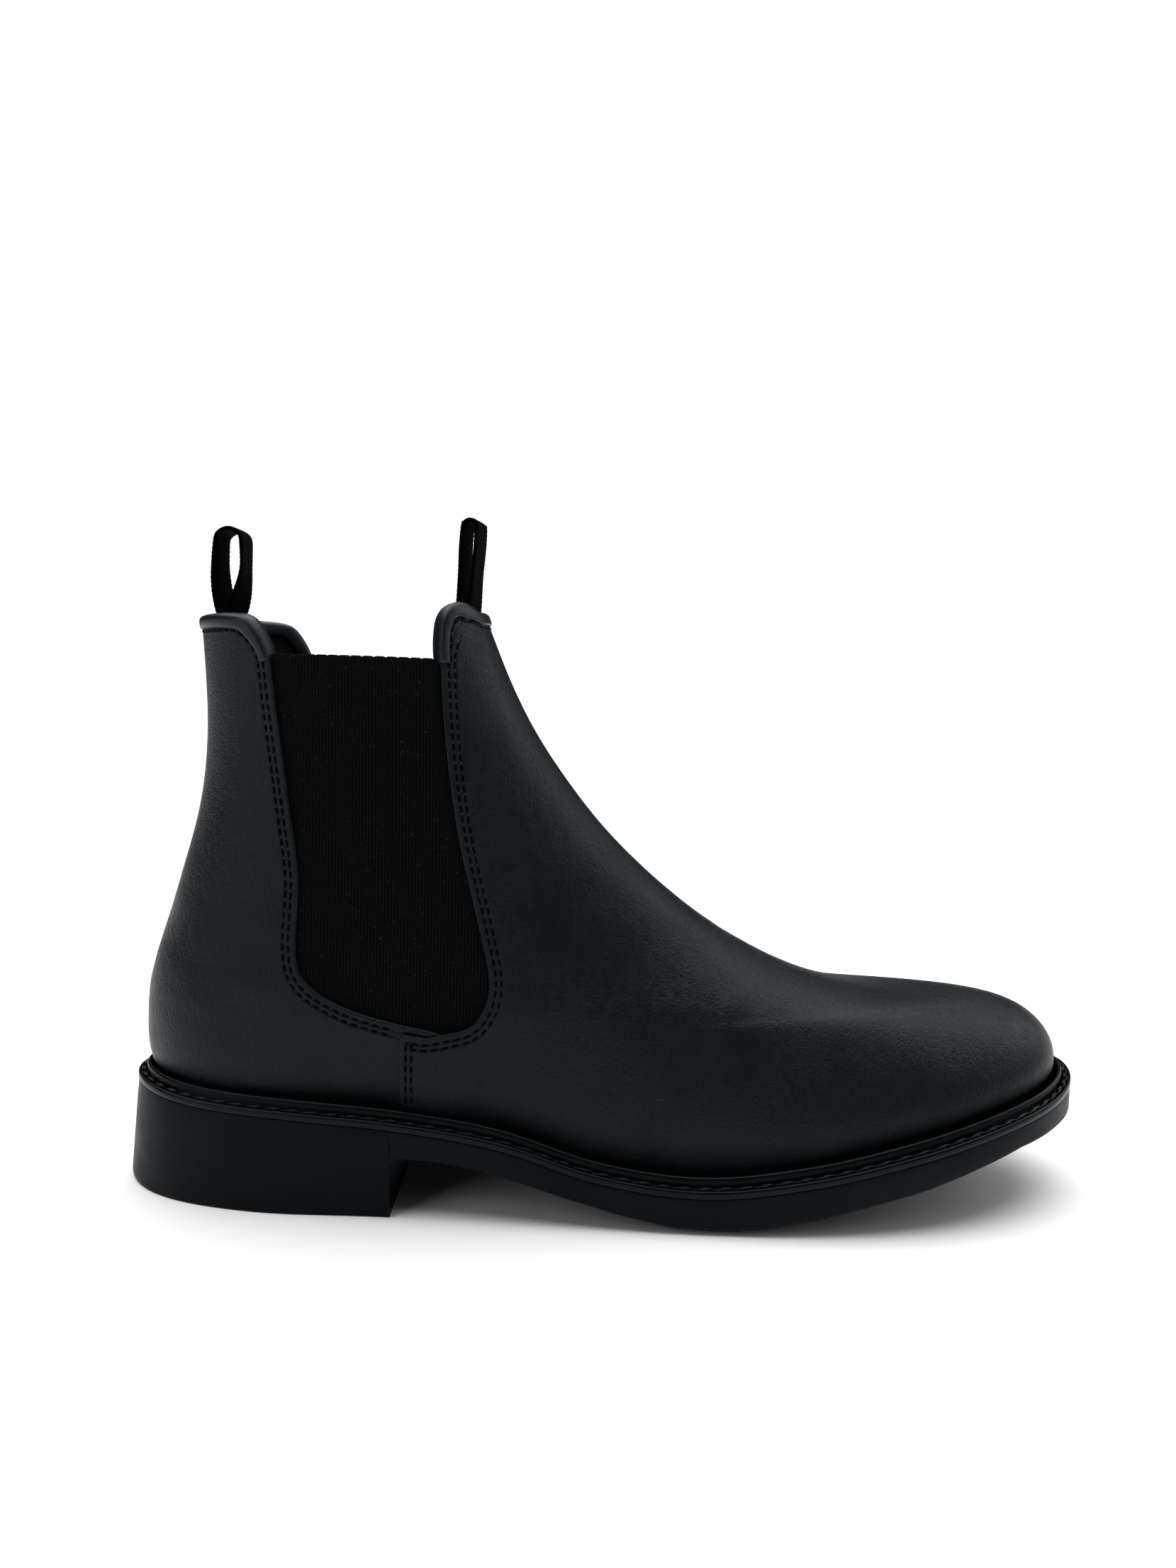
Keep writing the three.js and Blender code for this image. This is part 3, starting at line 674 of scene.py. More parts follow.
def beside(path, distance):
    """The path moved to its right on the surface."""
    right = path_frames(path)[3]
    d_angle, d_level = surface_slopes(path[:, 0], path[:, 1])
    aa, ll, al = (d_angle**2).sum(1), (d_level**2).sum(1), (d_angle * d_level).sum(1)
    ra, rl = (right * d_angle).sum(1) * distance, (right * d_level).sum(1) * distance
    det = aa * ll - al**2
    return path + np.stack([(ra * ll - rl * al) / det, (rl * aa - ra * al) / det], 1)


def side_path(points, side):
    return np.stack(on_side(resample(points, SIDE_STEP), side), 1)


def level_at(angle, z):
    """Level where the surface reaches height z at each angle, near the collar."""
    low, high = np.full(len(angle), 7.0), np.full(len(angle), TOP_RING + 0.2)
    for _ in range(30):
        middle = (low + high) / 2
        below = surface(angle, middle)[:, 2] < z
        low, high = np.where(below, middle, low), np.where(below, high, middle)
    return (low + high) / 2


# ---- stitches ----
CAPSULE_TURNS = 6
CAPSULE_ROWS = np.array([-1, -0.82, -0.4, 0, 0.4, 0.82, 1])
CAPSULE_GIRTH = np.array([0.15, 0.75, 1, 1, 1, 0.75, 0.15])


def capsules(centres, halves, ups, radius, arch):
    """Short rounded threads, each from centre - half to centre + half with its ends dipping by arch."""
    count = len(centres)
    ups = unit(ups - halves * ((ups * halves).sum(1) / (halves**2).sum(1))[:, None])
    sides = unit(np.cross(halves, ups))
    turn = np.arange(CAPSULE_TURNS) * 2 * math.pi / CAPSULE_TURNS
    dip = (arch * CAPSULE_ROWS**4)[:, None]
    spine = centres[:, None] + halves[:, None] * CAPSULE_ROWS[:, None] - ups[:, None] * dip
    ring = np.cos(turn)[:, None] * ups[:, None, None] + np.sin(turn)[:, None] * sides[:, None, None]
    points = spine[:, :, None] + ring * (radius * CAPSULE_GIRTH)[:, None, None]
    rows = len(CAPSULE_ROWS)
    size = rows * CAPSULE_TURNS
    faces = [[v + k * size for v in face] for k in range(count) for face in tube_faces(rows, CAPSULE_TURNS)]
    return points.reshape(-1, 3), faces


STITCH_PITCH, STITCH_SHARE, STITCH_RADIUS, STITCH_ARCH = 3.1, 0.84, 0.28, 0.3
RISE_LENGTH, RISE_RADIUS, RISE_HEIGHT, RISE_ARCH = 0.9, 0.2, 0.08, 0.15


def stitches(path, lift):
    """Stitches along a path, at a lift above the surface."""
    path = even_path(path, STITCH_PITCH)
    points, _, normals, _ = path_frames((path[1:] + path[:-1]) / 2)
    halves = np.diff(on_boot(path), axis=0) * STITCH_SHARE / 2
    return capsules(points + normals * lift(points)[:, None], halves, normals, STITCH_RADIUS, STITCH_ARCH)


def stitch_rises(path, lift):
    """Small rises of leather between one stitch and the next, across the row."""
    points, _, normals, right = path_frames(even_path(path, STITCH_PITCH))
    centres = points + normals * (lift(points)[:, None] + RISE_HEIGHT)
    return capsules(centres, right * RISE_LENGTH / 2, normals, RISE_RADIUS, RISE_ARCH)


def joined(parts):
    points, faces, count = [], [], 0
    for p, f in parts:
        points.append(p)
        faces += [[v + count for v in face] for face in f]
        count += len(p)
    return np.vstack(points), faces


def both_sides(lines):
    return [side_path(line, side) for line in lines for side in (-1, 1)]


def quarter_rows():
    gore = np.vstack([[(50.6, 170)], spline(GORE_BACK, 60), [(SEAM_X - 2, 58.1)]])
    return [offset_line(resample(gore, SIDE_STEP), -d) for d in STITCH_ROWS]


def vamp_rows():
    """The rows beside the vamp's free edge, with the corner kept at the top of its straight stretch."""
    edge = np.vstack([[(SEAM_X, 28.5), (SEAM_X, 55.2)], vamp_edge()[4:], [(102, 171)]])
    even = np.vstack([resample(edge[:2], SIDE_STEP)[:-1], resample(edge[1:], SIDE_STEP)])
    return [offset_line(even, -d) for d in STITCH_ROWS]


def make_stitching():
    back = both_sides(quarter_rows()) + [collar_row(back_collar_path(), False)]
    front = both_sides(vamp_rows()) + [collar_row(front_collar_path(), True)]
    no_lift = lambda points: np.zeros(len(points))
    for name, paths, lift, flexes in (("quarter", back, no_lift, False), ("vamp", front, tab_lift, True)):
        rows, rises = ([make(path, lift) for path in paths] for make in (stitches, stitch_rises))
        piece(name + "_stitching", *joined(rows), thread, flexes=flexes, slot="thread")
        piece(name + "_stitch_rises", *joined(rises), binding, flexes=flexes, slot="upper_leather")
    piece("back_seam_stitching", *back_seam_stitches(), thread, slot="thread")


BACK_SEAM = (60.0, 172.0)
BACK_SEAM_PITCH, BACK_SEAM_REACH = 1.5, 1.3
BACK_SEAM_LIFT, BACK_SEAM_RADIUS, BACK_SEAM_ARCH = 0.3, 0.4, 0.35


def back_seam_stitches():
    """A zigzag over the seam at the back of the heel."""
    z = np.arange(*BACK_SEAM, BACK_SEAM_PITCH)
    levels = np.linspace(3, TOP_RING, 400)
    level = np.interp(z, surface(0, levels)[:, 2], levels)
    reach = BACK_SEAM_REACH * np.where(np.arange(len(z)) % 2, 1, -1)
    width = np.linalg.norm(surface_slopes(np.zeros(len(z)), level)[0], axis=1)
    ends = surface(-reach / width, level)
    middle, halves = (ends[1:] + ends[:-1]) / 2, (ends[1:] - ends[:-1]) / 2
    normals = surface_normal(np.zeros(len(z) - 1), (level[1:] + level[:-1]) / 2)
    return capsules(middle + normals * BACK_SEAM_LIFT, halves, normals, BACK_SEAM_RADIUS, BACK_SEAM_ARCH)


# ---- collar bindings ----
# below the collar's edge and out from the upper's surface, once round the folded leather's section
BINDING_PROFILE = [(4.7, 0.02), (4.6, 0.6), (4.0, 0.86), (3.0, 0.95), (1.9, 0.98), (0.9, 0.84), (0.15, 0.3),
                   (-0.3, -0.7), (-0.45, -2.4), (-0.3, -4.1), (0.15, -5.2), (0.9, -5.75), (2.5, -5.95),
                   (4.2, -5.9), (4.7, -5.5), (4.5, -5.1), (1.4, -5.05), (0.7, -4.4), (0.6, -2.4), (0.7, -0.7),
                   (1.4, -0.04), (4.5, -0.02)]
BAND_WIDTH = BINDING_PROFILE[0][0]
BINDING_STEP, COLLAR_ROW_DROP = 1.2, 0.75
CREASE_HEIGHT = 0.07
# the collar's edge in the side view, from the gore's top corner upwards
BACK_COLLAR = [(50.9, 163.6), (49.6, 167.6), (47.1, 172), (44, 175.5), (40.2, 176.8), (33, 177.2)]
FRONT_COLLAR = [(100.7, 163.6), (100.4, 168.5), (100.7, 174), (101.7, 178.8), (103.9, 181.9), (106.4, 182.5),
                (108.8, 181.6), (110.4, 180.4)]
# x of the side view and the band's width there, as a share of the profile's
BACK_BAND = (32, 40, 45, 48, 50), (0.8, 0.85, 0.92, 0.75, 0.66)
FRONT_BAND = (100.6, 102.5, 105.5, 109, 114), (0.66, 0.8, 1.15, 1.05, 0.74)


def around(side_line, z, from_front):
    """A collar path: a side-view line on the outer side, then round the boot at height z to the inner side."""
    outer = np.stack(on_side(resample(side_line, 1.0), -1), 1)
    inner = outer[::-1] * [-1, 1] + [2 * math.pi if from_front else 0, 0]
    turn = np.linspace(outer[-1, 0], inner[0, 0], 80)[1:-1]
    middle = np.stack([turn, level_at(turn, z)], 1)
    return np.vstack([outer, middle, inner])


def back_collar_path():
    return around(spline(BACK_COLLAR, 40), COLLAR_BACK - 0.3, False)[::-1]


def front_collar_path():
    return around(spline(FRONT_COLLAR, 50), COLLAR_FRONT, True)


def band_share(points, at_front):
    """The outer band's width as a share of its profile, widest at the corners."""
    return np.interp(points[:, 0], *(FRONT_BAND if at_front else BACK_BAND))


def collar_row(path, at_front):
    """The row of stitches just under the collar's band."""
    return beside(path, BAND_WIDTH * band_share(on_boot(path), at_front) + COLLAR_ROW_DROP)


def make_binding(name, path, node, flexes):
    path = even_path(path, BINDING_STEP)
    ring = []
    normals = surface_normal(path[:, 0], path[:, 1])
    crease = CREASE_HEIGHT * waves(on_boot(path), 12, 10, 9)
    share = band_share(on_boot(path), flexes)
    for inward, height in BINDING_PROFILE:
        moved = beside(path, inward * (share if height > -1 else 1))
        ring.append(on_boot(moved) + normals * (height + crease * (height > 0.1))[:, None])
    points = np.stack(ring, 1)
    count, wide = points.shape[:2]
    piece(name, points.reshape(-1, 3), tube_faces(count, wide), binding, stands_for=[node], flexes=flexes,
          slot="binding_leather")


# ---- sole ----
OUTSOLE_TOP = -2.3
BREAST = 88.5
BREAST_TOP = 15.5
OUTLINE_COUNT = 720
WELD_DISTANCE, SHARP_ANGLE = 2e-6, 40
TOE_TUCK, HEEL_TUCK = 0.12, 0.2
TREAD_PITCH, TREAD_DEPTH, TREAD_BORDER = 6.0, 1.3, 7.0
# where the grooves start and end, and how softly
HEEL_TREAD, FRONT_TREAD = (8, 80, 2), (128, 286, 3)
RECESS_INSET, RECESS_DEPTH = 3.5, 4.0
HEEL_HOLLOW = {"inset": 8.0, "floor": 8.0, "back": 14.0, "front": 78.0}
# rows up the sole's side: outset at the heel and in front, then height above the bottom at the heel and, as a
# share of the edge's rise, in front, or the drop below the top
WALL_ROWS = [(7.2, 2.5, 0, 0, None), (7.7, 4.8, 0.22, 0.25, None), (7.88, 6.4, 0.95, 0.6, None),
             (7.84, 6.95, 2.3, 1, None), (7.45, 7.0, None, None, 4.4), (7.15, 7.02, None, None, 2.6),
             (7.02, 7.02, None, None, 0.5), (6.9, 6.9, None, None, 0.12), (6.5, 6.5, None, None, 0)]
EDGE_RISE = [(97, 0.9), (116, 0.6), (138, 0.9), (162, 1.7), (185, 2.6), (208, 2.6), (230, 2.3), (253, 1.6),
             (270, 1.2), (289, 0.9)]
HEEL_WAIST, WAIST_START = 2.6, 46
TOE_FULLNESS = 0.8
ACROSS = 40
LEAST_RISE = 0.03


def plan_outline(outset, count=OUTLINE_COUNT, heel_tuck=HEEL_TUCK):
    """The feather line in plan, moved outwards, a little less at the toe and at the back of the heel."""
    angle = np.arange(count) * 2 * math.pi / count
    along = surface(angle + 1e-3, 0) - surface(angle - 1e-3, 0)
    length = np.hypot(along[:, 0], along[:, 1])
    here = surface(angle, 0)
    tuck = TOE_TUCK * smoothstep((here[:, 0] - 250) / 45) + heel_tuck * smoothstep((24 - here[:, 0]) / 18)
    reach = outset * (1 - tuck) / length
    return np.stack([here[:, 0] + reach * along[:, 1], here[:, 1] - reach * along[:, 0]], 1)


def plan_sides(outset, heel_tuck=HEEL_TUCK):
    """The plan outline's two ends and functions for its outer and inner edge at x."""
    ring = plan_outline(outset, heel_tuck=heel_tuck)
    back, toe = ring[:, 0].argmin(), ring[:, 0].argmax()
    ring = np.roll(ring, -back, axis=0)
    toe = (toe - back) % len(ring)
    low, high = ring[:toe + 1], np.vstack([ring[toe:], ring[:1]])[::-1]
    return ring[0, 0], ring[toe, 0], lambda x: (np.interp(x, *low.T), np.interp(x, *high.T))


def over_rim(plan, height):
    """Plan points at a height over the sole's rim."""
    return np.column_stack([plan, sole_top(plan[:, 0]) + height])


def sole_bottom(x):
    return np.interp(x, *np.array([(BREAST, BREAST_TOP)] + SOLE_BOTTOM).T)


def heel_bottom(x):
    """The heel stands flat, apart from its last stretch at the back, which curves up."""
    return 2.4 * np.clip((15 - x) / 23, 0, 1) ** 1.6


def sole_stations():
    """Shares along the heel and along the front of the sole, closer together towards both ends."""
    heel = [(0, 1 - math.cos(t)) for t in np.linspace(0, math.pi / 2, 90)]
    front = [(1, 1 - (1 - t) ** 1.7) for t in np.linspace(0, 1, 300)]
    return np.array(heel + front)


def tread(x, y, low, high, heel):
    """Depth of the grooves across the sole's underside."""
    border = smoothstep((np.minimum(y - low, high - y) - TREAD_BORDER) / 1.5)
    start, end, fade = HEEL_TREAD if heel else FRONT_TREAD
    lengthways = smoothstep((x - start) / fade) * smoothstep((end - x) / fade)
    bars = smoothstep(0.5 + 1.6 * np.sin(2 * math.pi * x / TREAD_PITCH))
    return TREAD_DEPTH * border * lengthways * bars


def wall_place(heel, share, heel_outset, front_outset, drop):
    """x of a wall row on one cross-section, and its y on the outer and the inner side."""
    start, end, edges = WALL_SIDES[heel_outset if heel else front_outset]
    if heel:
        x = start + share * (BREAST - start)
        low, high = edges(x)
        waist = (HEEL_WAIST if drop is None else 0) * smoothstep((x - WAIST_START) / (BREAST - WAIST_START))
        return x, low + waist, high - waist
    x = BREAST + share * (end - BREAST)
    low, high = edges(x)
    full_x = BREAST + share * (FULL_END - BREAST)
    full_low, full_high = full_edges(full_x)
    fuller = TOE_FULLNESS * smoothstep((x - 235) / 50)
    return [a + (b - a) * fuller for a, b in ((x, full_x), (low, full_low), (high, full_high))]


def wall_height(heel, x, heel_rise, front_rise, drop):
    if drop is not None:
        return sole_top(x) + OUTSOLE_TOP - drop
    if heel:
        return heel_bottom(x) + heel_rise
    return sole_bottom(x) + front_rise * np.interp(x, *np.array(EDGE_RISE).T)


def sole_ring(heel, share):
    """One closed cross-section of the outsole."""
    low_side, high_side, z = [], [], -1.0
    for heel_outset, front_outset, heel_rise, front_rise, drop in WALL_ROWS:
        x, low, high = wall_place(heel, share, heel_outset, front_outset, drop)
        z = max(wall_height(heel, x, heel_rise, front_rise, drop), z + LEAST_RISE)
        low_side.append((x, low, z))
        high_side.append((x, high, z))
    x, low, z = low_side[-1]
    over = [(x, low + f * (high_side[-1][1] - low), z) for f in (0.25, 0.5, 0.75)]
    x, low, z = low_side[0]
    high = high_side[0][1]
    y = high + np.linspace(0, 1, ACROSS + 2)[1:-1] * (low - high)
    under = np.stack([np.full(ACROSS, x), y, z + tread(x, y, low, high, heel)], 1)
    return low_side + over + high_side[::-1] + under.tolist()


WALL_SIDES = {outset: plan_sides(outset, 0.0 if rise is not None else HEEL_TUCK)
              for heel, front, rise, _, _ in WALL_ROWS for outset in (heel, front)}
_, FULL_END, full_edges = plan_sides(7.0)


def slab(outset, low, high, start, end, count):
    """A closed block inside the plan outline between two heights, each a function of x."""
    first, last, edges = plan_sides(outset)
    start, end = max(start, first + 0.02), min(end, last - 0.02)
    x = start + (end - start) * (1 - np.cos(np.linspace(0, math.pi, count))) / 2
    y_low, y_high = edges(x)
    y = y_low[:, None] + (y_high - y_low)[:, None] * np.array([0, 0.5, 1, 1, 0.5, 0])
    z = np.stack([low(x)] * 3 + [high(x)] * 3, 1)
    points = np.stack([np.broadcast_to(x[:, None], y.shape), y, z], -1)
    return points.reshape(-1, 3), [face[::-1] for face in tube_faces(count, 6)]


def cut_away(obj, points, faces):
    """Subtract a closed block from a piece."""
    mesh = bpy.data.meshes.new("cutter")
    mesh.from_pydata(to_frame(points).tolist(), [], faces)
    cutter = add_object("cutter", mesh)
    change = obj.modifiers.new("cut", "BOOLEAN")
    change.operation, change.object, change.solver = "DIFFERENCE", cutter, "EXACT"
    bake_modifiers(obj)
    bpy.data.objects.remove(cutter)


def bake_modifiers(obj):
    bpy.context.view_layer.update()
    done = bpy.data.meshes.new_from_object(obj.evaluated_get(bpy.context.evaluated_depsgraph_get()))
    obj.modifiers.clear()
    obj.data = done


def make_outsole():
    rings = [sole_ring(heel == 0, share) for heel, share in sole_stations()]
    faces = tube_faces(len(rings), len(rings[0]))
    made = piece("outsole_rubber", np.array(rings).reshape(-1, 3), faces, rubber, stands_for=["outsole"],
                 slot="outsole_rubber")
    turn_outwards(made, WELD_DISTANCE)
    recess_floor = lambda x: sole_top(x) + OUTSOLE_TOP - RECESS_DEPTH
    hollow_floor = lambda x: np.full(len(x), HEEL_HOLLOW["floor"])
    above = lambda x: sole_top(x) + 12
    cut_away(made, *slab(-RECESS_INSET, recess_floor, above, -50, 400, 90))
    hollow_ends = HEEL_HOLLOW["back"], HEEL_HOLLOW["front"]
    cut_away(made, *slab(-HEEL_HOLLOW["inset"], hollow_floor, above, *hollow_ends, 40))
    made.data.shade_smooth()
    made.data.set_sharp_from_angle(angle=math.radians(SHARP_ANGLE))


def turn_outwards(obj, distance=0.0):
    """Turn the normals outwards, after merging points within a distance where one is given."""
    work = bmesh.new()
    work.from_mesh(obj.data)
    if distance:
        bmesh.ops.remove_doubles(work, verts=work.verts, dist=distance)
        bmesh.ops.dissolve_degenerate(work, edges=work.edges, dist=distance)
    bmesh.ops.recalc_face_normals(work, faces=work.faces)
    work.to_mesh(obj.data)
    work.free()
    obj.data.update()


# outset and height over the sole's rim, once round the welt's section
WELT_PROFILE = [(0.8, -2.26), (6.9, -2.26), (7.16, -2.0), (7.2, -1.0), (7.14, -0.3), (6.9, 0.02), (6.5, 0.12),
                (6.25, 0.02), (6.1, -0.3), (5.3, -0.45), (4.55, -0.3), (4.3, 0.1), (4.0, 0.5), (3.9, 1.3),
                (3.85, 2.2), (3.6, 2.7), (3.1, 2.9), (2.6, 2.8), (2.25, 2.4), (2.1, 1.4), (2.0, 0.3),
                (0.8, 0.1)]
# outset and the painted shade there: 1 is the rubber's own tone, lower is darker in the stitched channel and
# behind the rib
WELT_SHADE = [(2.2, 0.1), (2.5, 1), (3.7, 1), (4.1, 0.2), (6.2, 0.2), (6.4, 1)]


def make_welt():
    columns = [plan_outline(outset, 480) for outset, _ in WELT_PROFILE]
    points = np.stack([over_rim(xy, z) for xy, (_, z) in zip(columns, WELT_PROFILE)], 1)
    count, wide = points.shape[:2]
    index = np.arange(count * wide).reshape(count, wide)
    after = np.roll(index, -1, axis=0)
    faces = np.stack([index, np.roll(index, -1, axis=1), np.roll(after, -1, axis=1), after], -1)
    # painted shade in the stitched channel and behind the rib
    shade = np.tile(np.interp([outset for outset, _ in WELT_PROFILE], *np.array(WELT_SHADE).T), count)
    made = piece("welt_rim", points.reshape(-1, 3), faces.reshape(-1, 4).tolist(), welt_rubber,
                 stands_for=["welt"], slot="welt_rubber", values={"shade": shade})
    turn_outwards(made, WELD_DISTANCE)


WELT_STITCH_PITCH, WELT_STITCH_LENGTH = 5.9, 4.4
WELT_STITCH_LIFT, WELT_STITCH_RADIUS, WELT_STITCH_ARCH = 0.25, 0.27, 0.5
WELT_STRANDS = (4.85, 5.3, 5.75)


def around_ring(ring, along, share):
    """Points at shares of the way round a closed line."""
    return np.stack([np.interp(share % 1 * along[-1], along, column) for column in ring.T], 1)


def make_welt_stitches():
    """Stitches of a few strands, laid end to end in the welt's channel."""
    parts = []
    for outset in WELT_STRANDS:
        ring = plan_outline(outset, 1440)
        ring = over_rim(np.vstack([ring, ring[:1]]), 0)
        along = run_lengths(ring)
        count = int(round(along[-1] / WELT_STITCH_PITCH))
        half_share = WELT_STITCH_LENGTH / 2 / along[-1]
        at = np.arange(count) / count
        starts, ends = around_ring(ring, along, at - half_share), around_ring(ring, along, at + half_share)
        ups = np.tile([0, 0, 1.0], (count, 1))
        parts.append(capsules((starts + ends) / 2 + ups * WELT_STITCH_LIFT, (ends - starts) / 2, ups,
                              WELT_STITCH_RADIUS, WELT_STITCH_ARCH))
    piece("welt_stitches", *joined(parts), welt_thread, stands_for=["welt_thread"], slot="thread")


SOCK_INSET, SOCK_LOW, SOCK_HIGH, SOCK_CROWN = 6.3, 0.8, 3.8, 0.3
SOCK_COUNT = 240
SOCK_EDGE = [(0, SOCK_LOW), (0, SOCK_LOW + 1.2), (0.35, SOCK_HIGH - 0.8), (1.1, SOCK_HIGH - 0.2),
             (2.6, SOCK_HIGH)]


def make_sock():
    """The cushioned sock that the foot stands on, crowned a little and soft at its edge."""
    rings = [over_rim(plan_outline(-SOCK_INSET - inset, SOCK_COUNT), z) for inset, z in SOCK_EDGE]
    mirror = (-np.arange(SOCK_COUNT)) % SOCK_COUNT
    bottom, top = rings[0], rings[-1]
    middle = (top + top[mirror]) / 2
    for share in (0.2, 0.4, 0.6, 0.8, 1.0):
        ring = top + (middle - top) * share
        rings.append(over_rim(ring[:, :2], SOCK_HIGH + SOCK_CROWN * share))
    rings.insert(0, over_rim(((bottom + bottom[mirror]) / 2)[:, :2], SOCK_LOW))
    points = np.array(rings).reshape(-1, 3)
    made = piece("sock", points, ring_faces(len(rings), SOCK_COUNT), sock_cloth, stands_for=["sock_liner"],
                 slot="lining_leather")
    turn_outwards(made, WELD_DISTANCE)


# ---- pull loops ----
LOOP_BASE = 181.2
TAIL_FOOT = 158.5
TAPE_WIDTH, TAPE_THICKNESS = 12.0, 1.25
# turn is the whole loop's turn about the upright, twist what its front strand turns back by towards the top
BACK_LOOP = {"x": 32.0, "height": 24.4, "turn": -15, "twist": 22, "lean": 0.03,
             "side": [(2.4, 0), (3.5, 5), (4.1, 11), (4.0, 18)]}
FRONT_LOOP = {"x": 106.8, "height": 28.4, "turn": -14, "twist": 4, "lean": 0.06,
              "side": [(1.8, 0), (1.9, 6), (2, 12), (2.3, 20)]}
FOLD_LOW, FOLD_HIGH = 180.6, 184.6
SELVEDGE_PITCH, SELVEDGE_DEPTH = 1.5, 0.2
TAPE_STEP = 0.7
# across and out, as shares of half the width and half the thickness, halfway round the tape's section
TAPE_SIDE = [(-1, 0), (-0.97, 0.6), (-0.9, 0.95), (-0.6, 1), (-0.3, 1), (0, 1), (0.3, 1), (0.6, 1),
             (0.9, 0.95), (0.97, 0.6)]
LEAN_DEPTH = 9.0


def loop_spine(loop):
    """The tape's centre line in the loop's own plane: across and height above the collar."""
    radius = loop["side"][-1][0]
    crown = loop["height"] - TAPE_THICKNESS / 2 - radius
    arc = [(radius * math.cos(a), crown + radius * math.sin(a)) for a in np.linspace(0, math.pi, 9)]
    right = [(0.9, TAIL_FOOT - LOOP_BASE), (0.95, -14), (1.1, -6)] + loop["side"]
    path = right + arc[1:-1] + [(-s, h) for s, h in right[::-1]]
    return resample(spline(path, 200), TAPE_STEP)


def tape_rings(loop, spine, along):
    """The tape's cross-sections in the loop's own plane, with scalloped selvedges."""
    way = unit(np.gradient(spine, axis=0))
    out = np.stack([way[:, 1], -way[:, 0]], 1)
    bow = 1 + 0.02 * np.sin(along / 9)
    scallop = SELVEDGE_DEPTH * np.sin(2 * math.pi * along / SELVEDGE_PITCH)
    rings = []
    for across, height in TAPE_SIDE + [(-a, -h) for a, h in TAPE_SIDE]:
        y = across * (TAPE_WIDTH / 2 * bow + scallop * (abs(across) > 0.85))
        at = spine + out * (TAPE_THICKNESS / 2 * height)
        rings.append(np.stack([at[:, 0] + loop["lean"] * np.maximum(at[:, 1], 0), y, at[:, 1]], 1))
    return np.stack(rings, 1)


def turned(points, loop):
    """The loop turned about the upright and put in its place at the collar."""
    front = (1 + np.cos(np.linspace(0, math.pi, len(points)))[:, None]) / 2
    turn = np.radians(loop["turn"] + loop["twist"] * front * smoothstep(points[..., 2] / 14))
    turn = turn * smoothstep((points[..., 2] + 8) / 8)
    c, s = np.cos(turn), np.sin(turn)
    x, y = points[..., 0] * c - points[..., 1] * s, points[..., 0] * s + points[..., 1] * c
    return np.stack([x + loop["x"], y, points[..., 2] + LOOP_BASE], -1)


def make_loop(name, loop, tail_body, loop_body, nodes):
    spine = loop_spine(loop)
    along = np.arange(len(spine)) * TAPE_STEP
    points = follow_wall(turned(tape_rings(loop, spine, along), loop), loop)
    count, wide = points.shape[:2]
    fold = (tail_body, loop_body, [loop["x"], 0, FOLD_LOW], [loop["x"], 0, FOLD_HIGH])
    made = piece(name, points.reshape(-1, 3), tube_faces(count, wide), tape, stands_for=nodes, slot="tape",
                 values={"along": np.repeat(along, wide)}, between=fold)
    turn_outwards(made)


def follow_wall(points, loop):
    """Below the collar the tape's ends lean back against the lining."""
    at_back = loop["x"] < 70
    angle = 0.0 if at_back else math.pi
    flat = points.reshape(-1, 3).copy()
    level = level_at(np.full(len(flat), angle), np.minimum(flat[:, 2], COLLAR_BACK - 0.2))
    y_angle = np.arctan2(-flat[:, 1], 40.0) * (1 if at_back else -1) + angle
    sheet = surface(y_angle, level) - surface_normal(y_angle, level) * (TAIL_DEPTH + TAPE_THICKNESS)
    flat[:, 0] += (sheet[:, 0] - loop["x"]) * smoothstep((LOOP_BASE - flat[:, 2]) / LEAN_DEPTH)
    return flat.reshape(points.shape)


# ---- materials ----
def node(tree, kind, inputs=None, **settings):
    """Add a shader node; an input given as a socket is linked, any other value is set."""
    made = tree.nodes.new(kind)
    for key, value in settings.items():
        setattr(made, key, value)
    for key, value in (inputs or {}).items():
        if isinstance(value, bpy.types.NodeSocket):
            tree.links.new(value, made.inputs[key])
        else:
            made.inputs[key].default_value = value
    return made


def math_node(tree, operation, *values):
    return node(tree, "ShaderNodeMath", dict(enumerate(values)), operation=operation).outputs[0]


def place(tree, scale=(1, 1, 1)):
    """Object coordinates in metres, scaled."""
    at = node(tree, "ShaderNodeTexCoord").outputs["Object"]
    return node(tree, "ShaderNodeMapping", {"Vector": at, "Scale": scale}).outputs[0]


def noise(tree, size, detail, rough=0.5, at=None):
    """Noise whose features are about size metres across, from 0 to 1."""
    vector = at if at is not None else place(tree)
    inputs = {"Vector": vector, "Scale": 1 / size, "Detail": detail, "Roughness": rough}
    return node(tree, "ShaderNodeTexNoise", inputs).outputs[0]


def ramp(tree, factor, stops, kind="LINEAR"):
    """Colour or grey stops along a factor; a stop is (place, grey) or (place, (r, g, b))."""
    made = node(tree, "ShaderNodeValToRGB", {"Fac": factor})
    made.color_ramp.interpolation = kind
    elements = made.color_ramp.elements
    while len(elements) < len(stops):
        elements.new(0.5)
    for element, (at, value) in zip(elements, stops):
        element.position = at
        element.color = (*value, 1) if isinstance(value, tuple) else (value, value, value, 1)
    return made.outputs[0]


def attribute(tree, name):
    return node(tree, "ShaderNodeAttribute", attribute_name=name).outputs["Fac"]


def vector_node(tree, operation, a, b):
    return node(tree, "ShaderNodeVectorMath", {0: a, 1: b}, operation=operation).outputs[0]


def bump(tree, height, distance, strength, before=None):
    inputs = {"Height": height, "Distance": distance, "Strength": strength}
    if before is not None:
        inputs["Normal"] = before
    return node(tree, "ShaderNodeBump", inputs).outputs[0]


SHEEN_TINT = (0.74, 0.92, 1, 1)
LEATHER_GLOSS = 0.115
PICK_PITCH, TAPE_RIB = 0.0007, 0.75


def empty_tree(owner):
    owner.use_nodes = True
    owner.node_tree.nodes.clear()
    return owner.node_tree


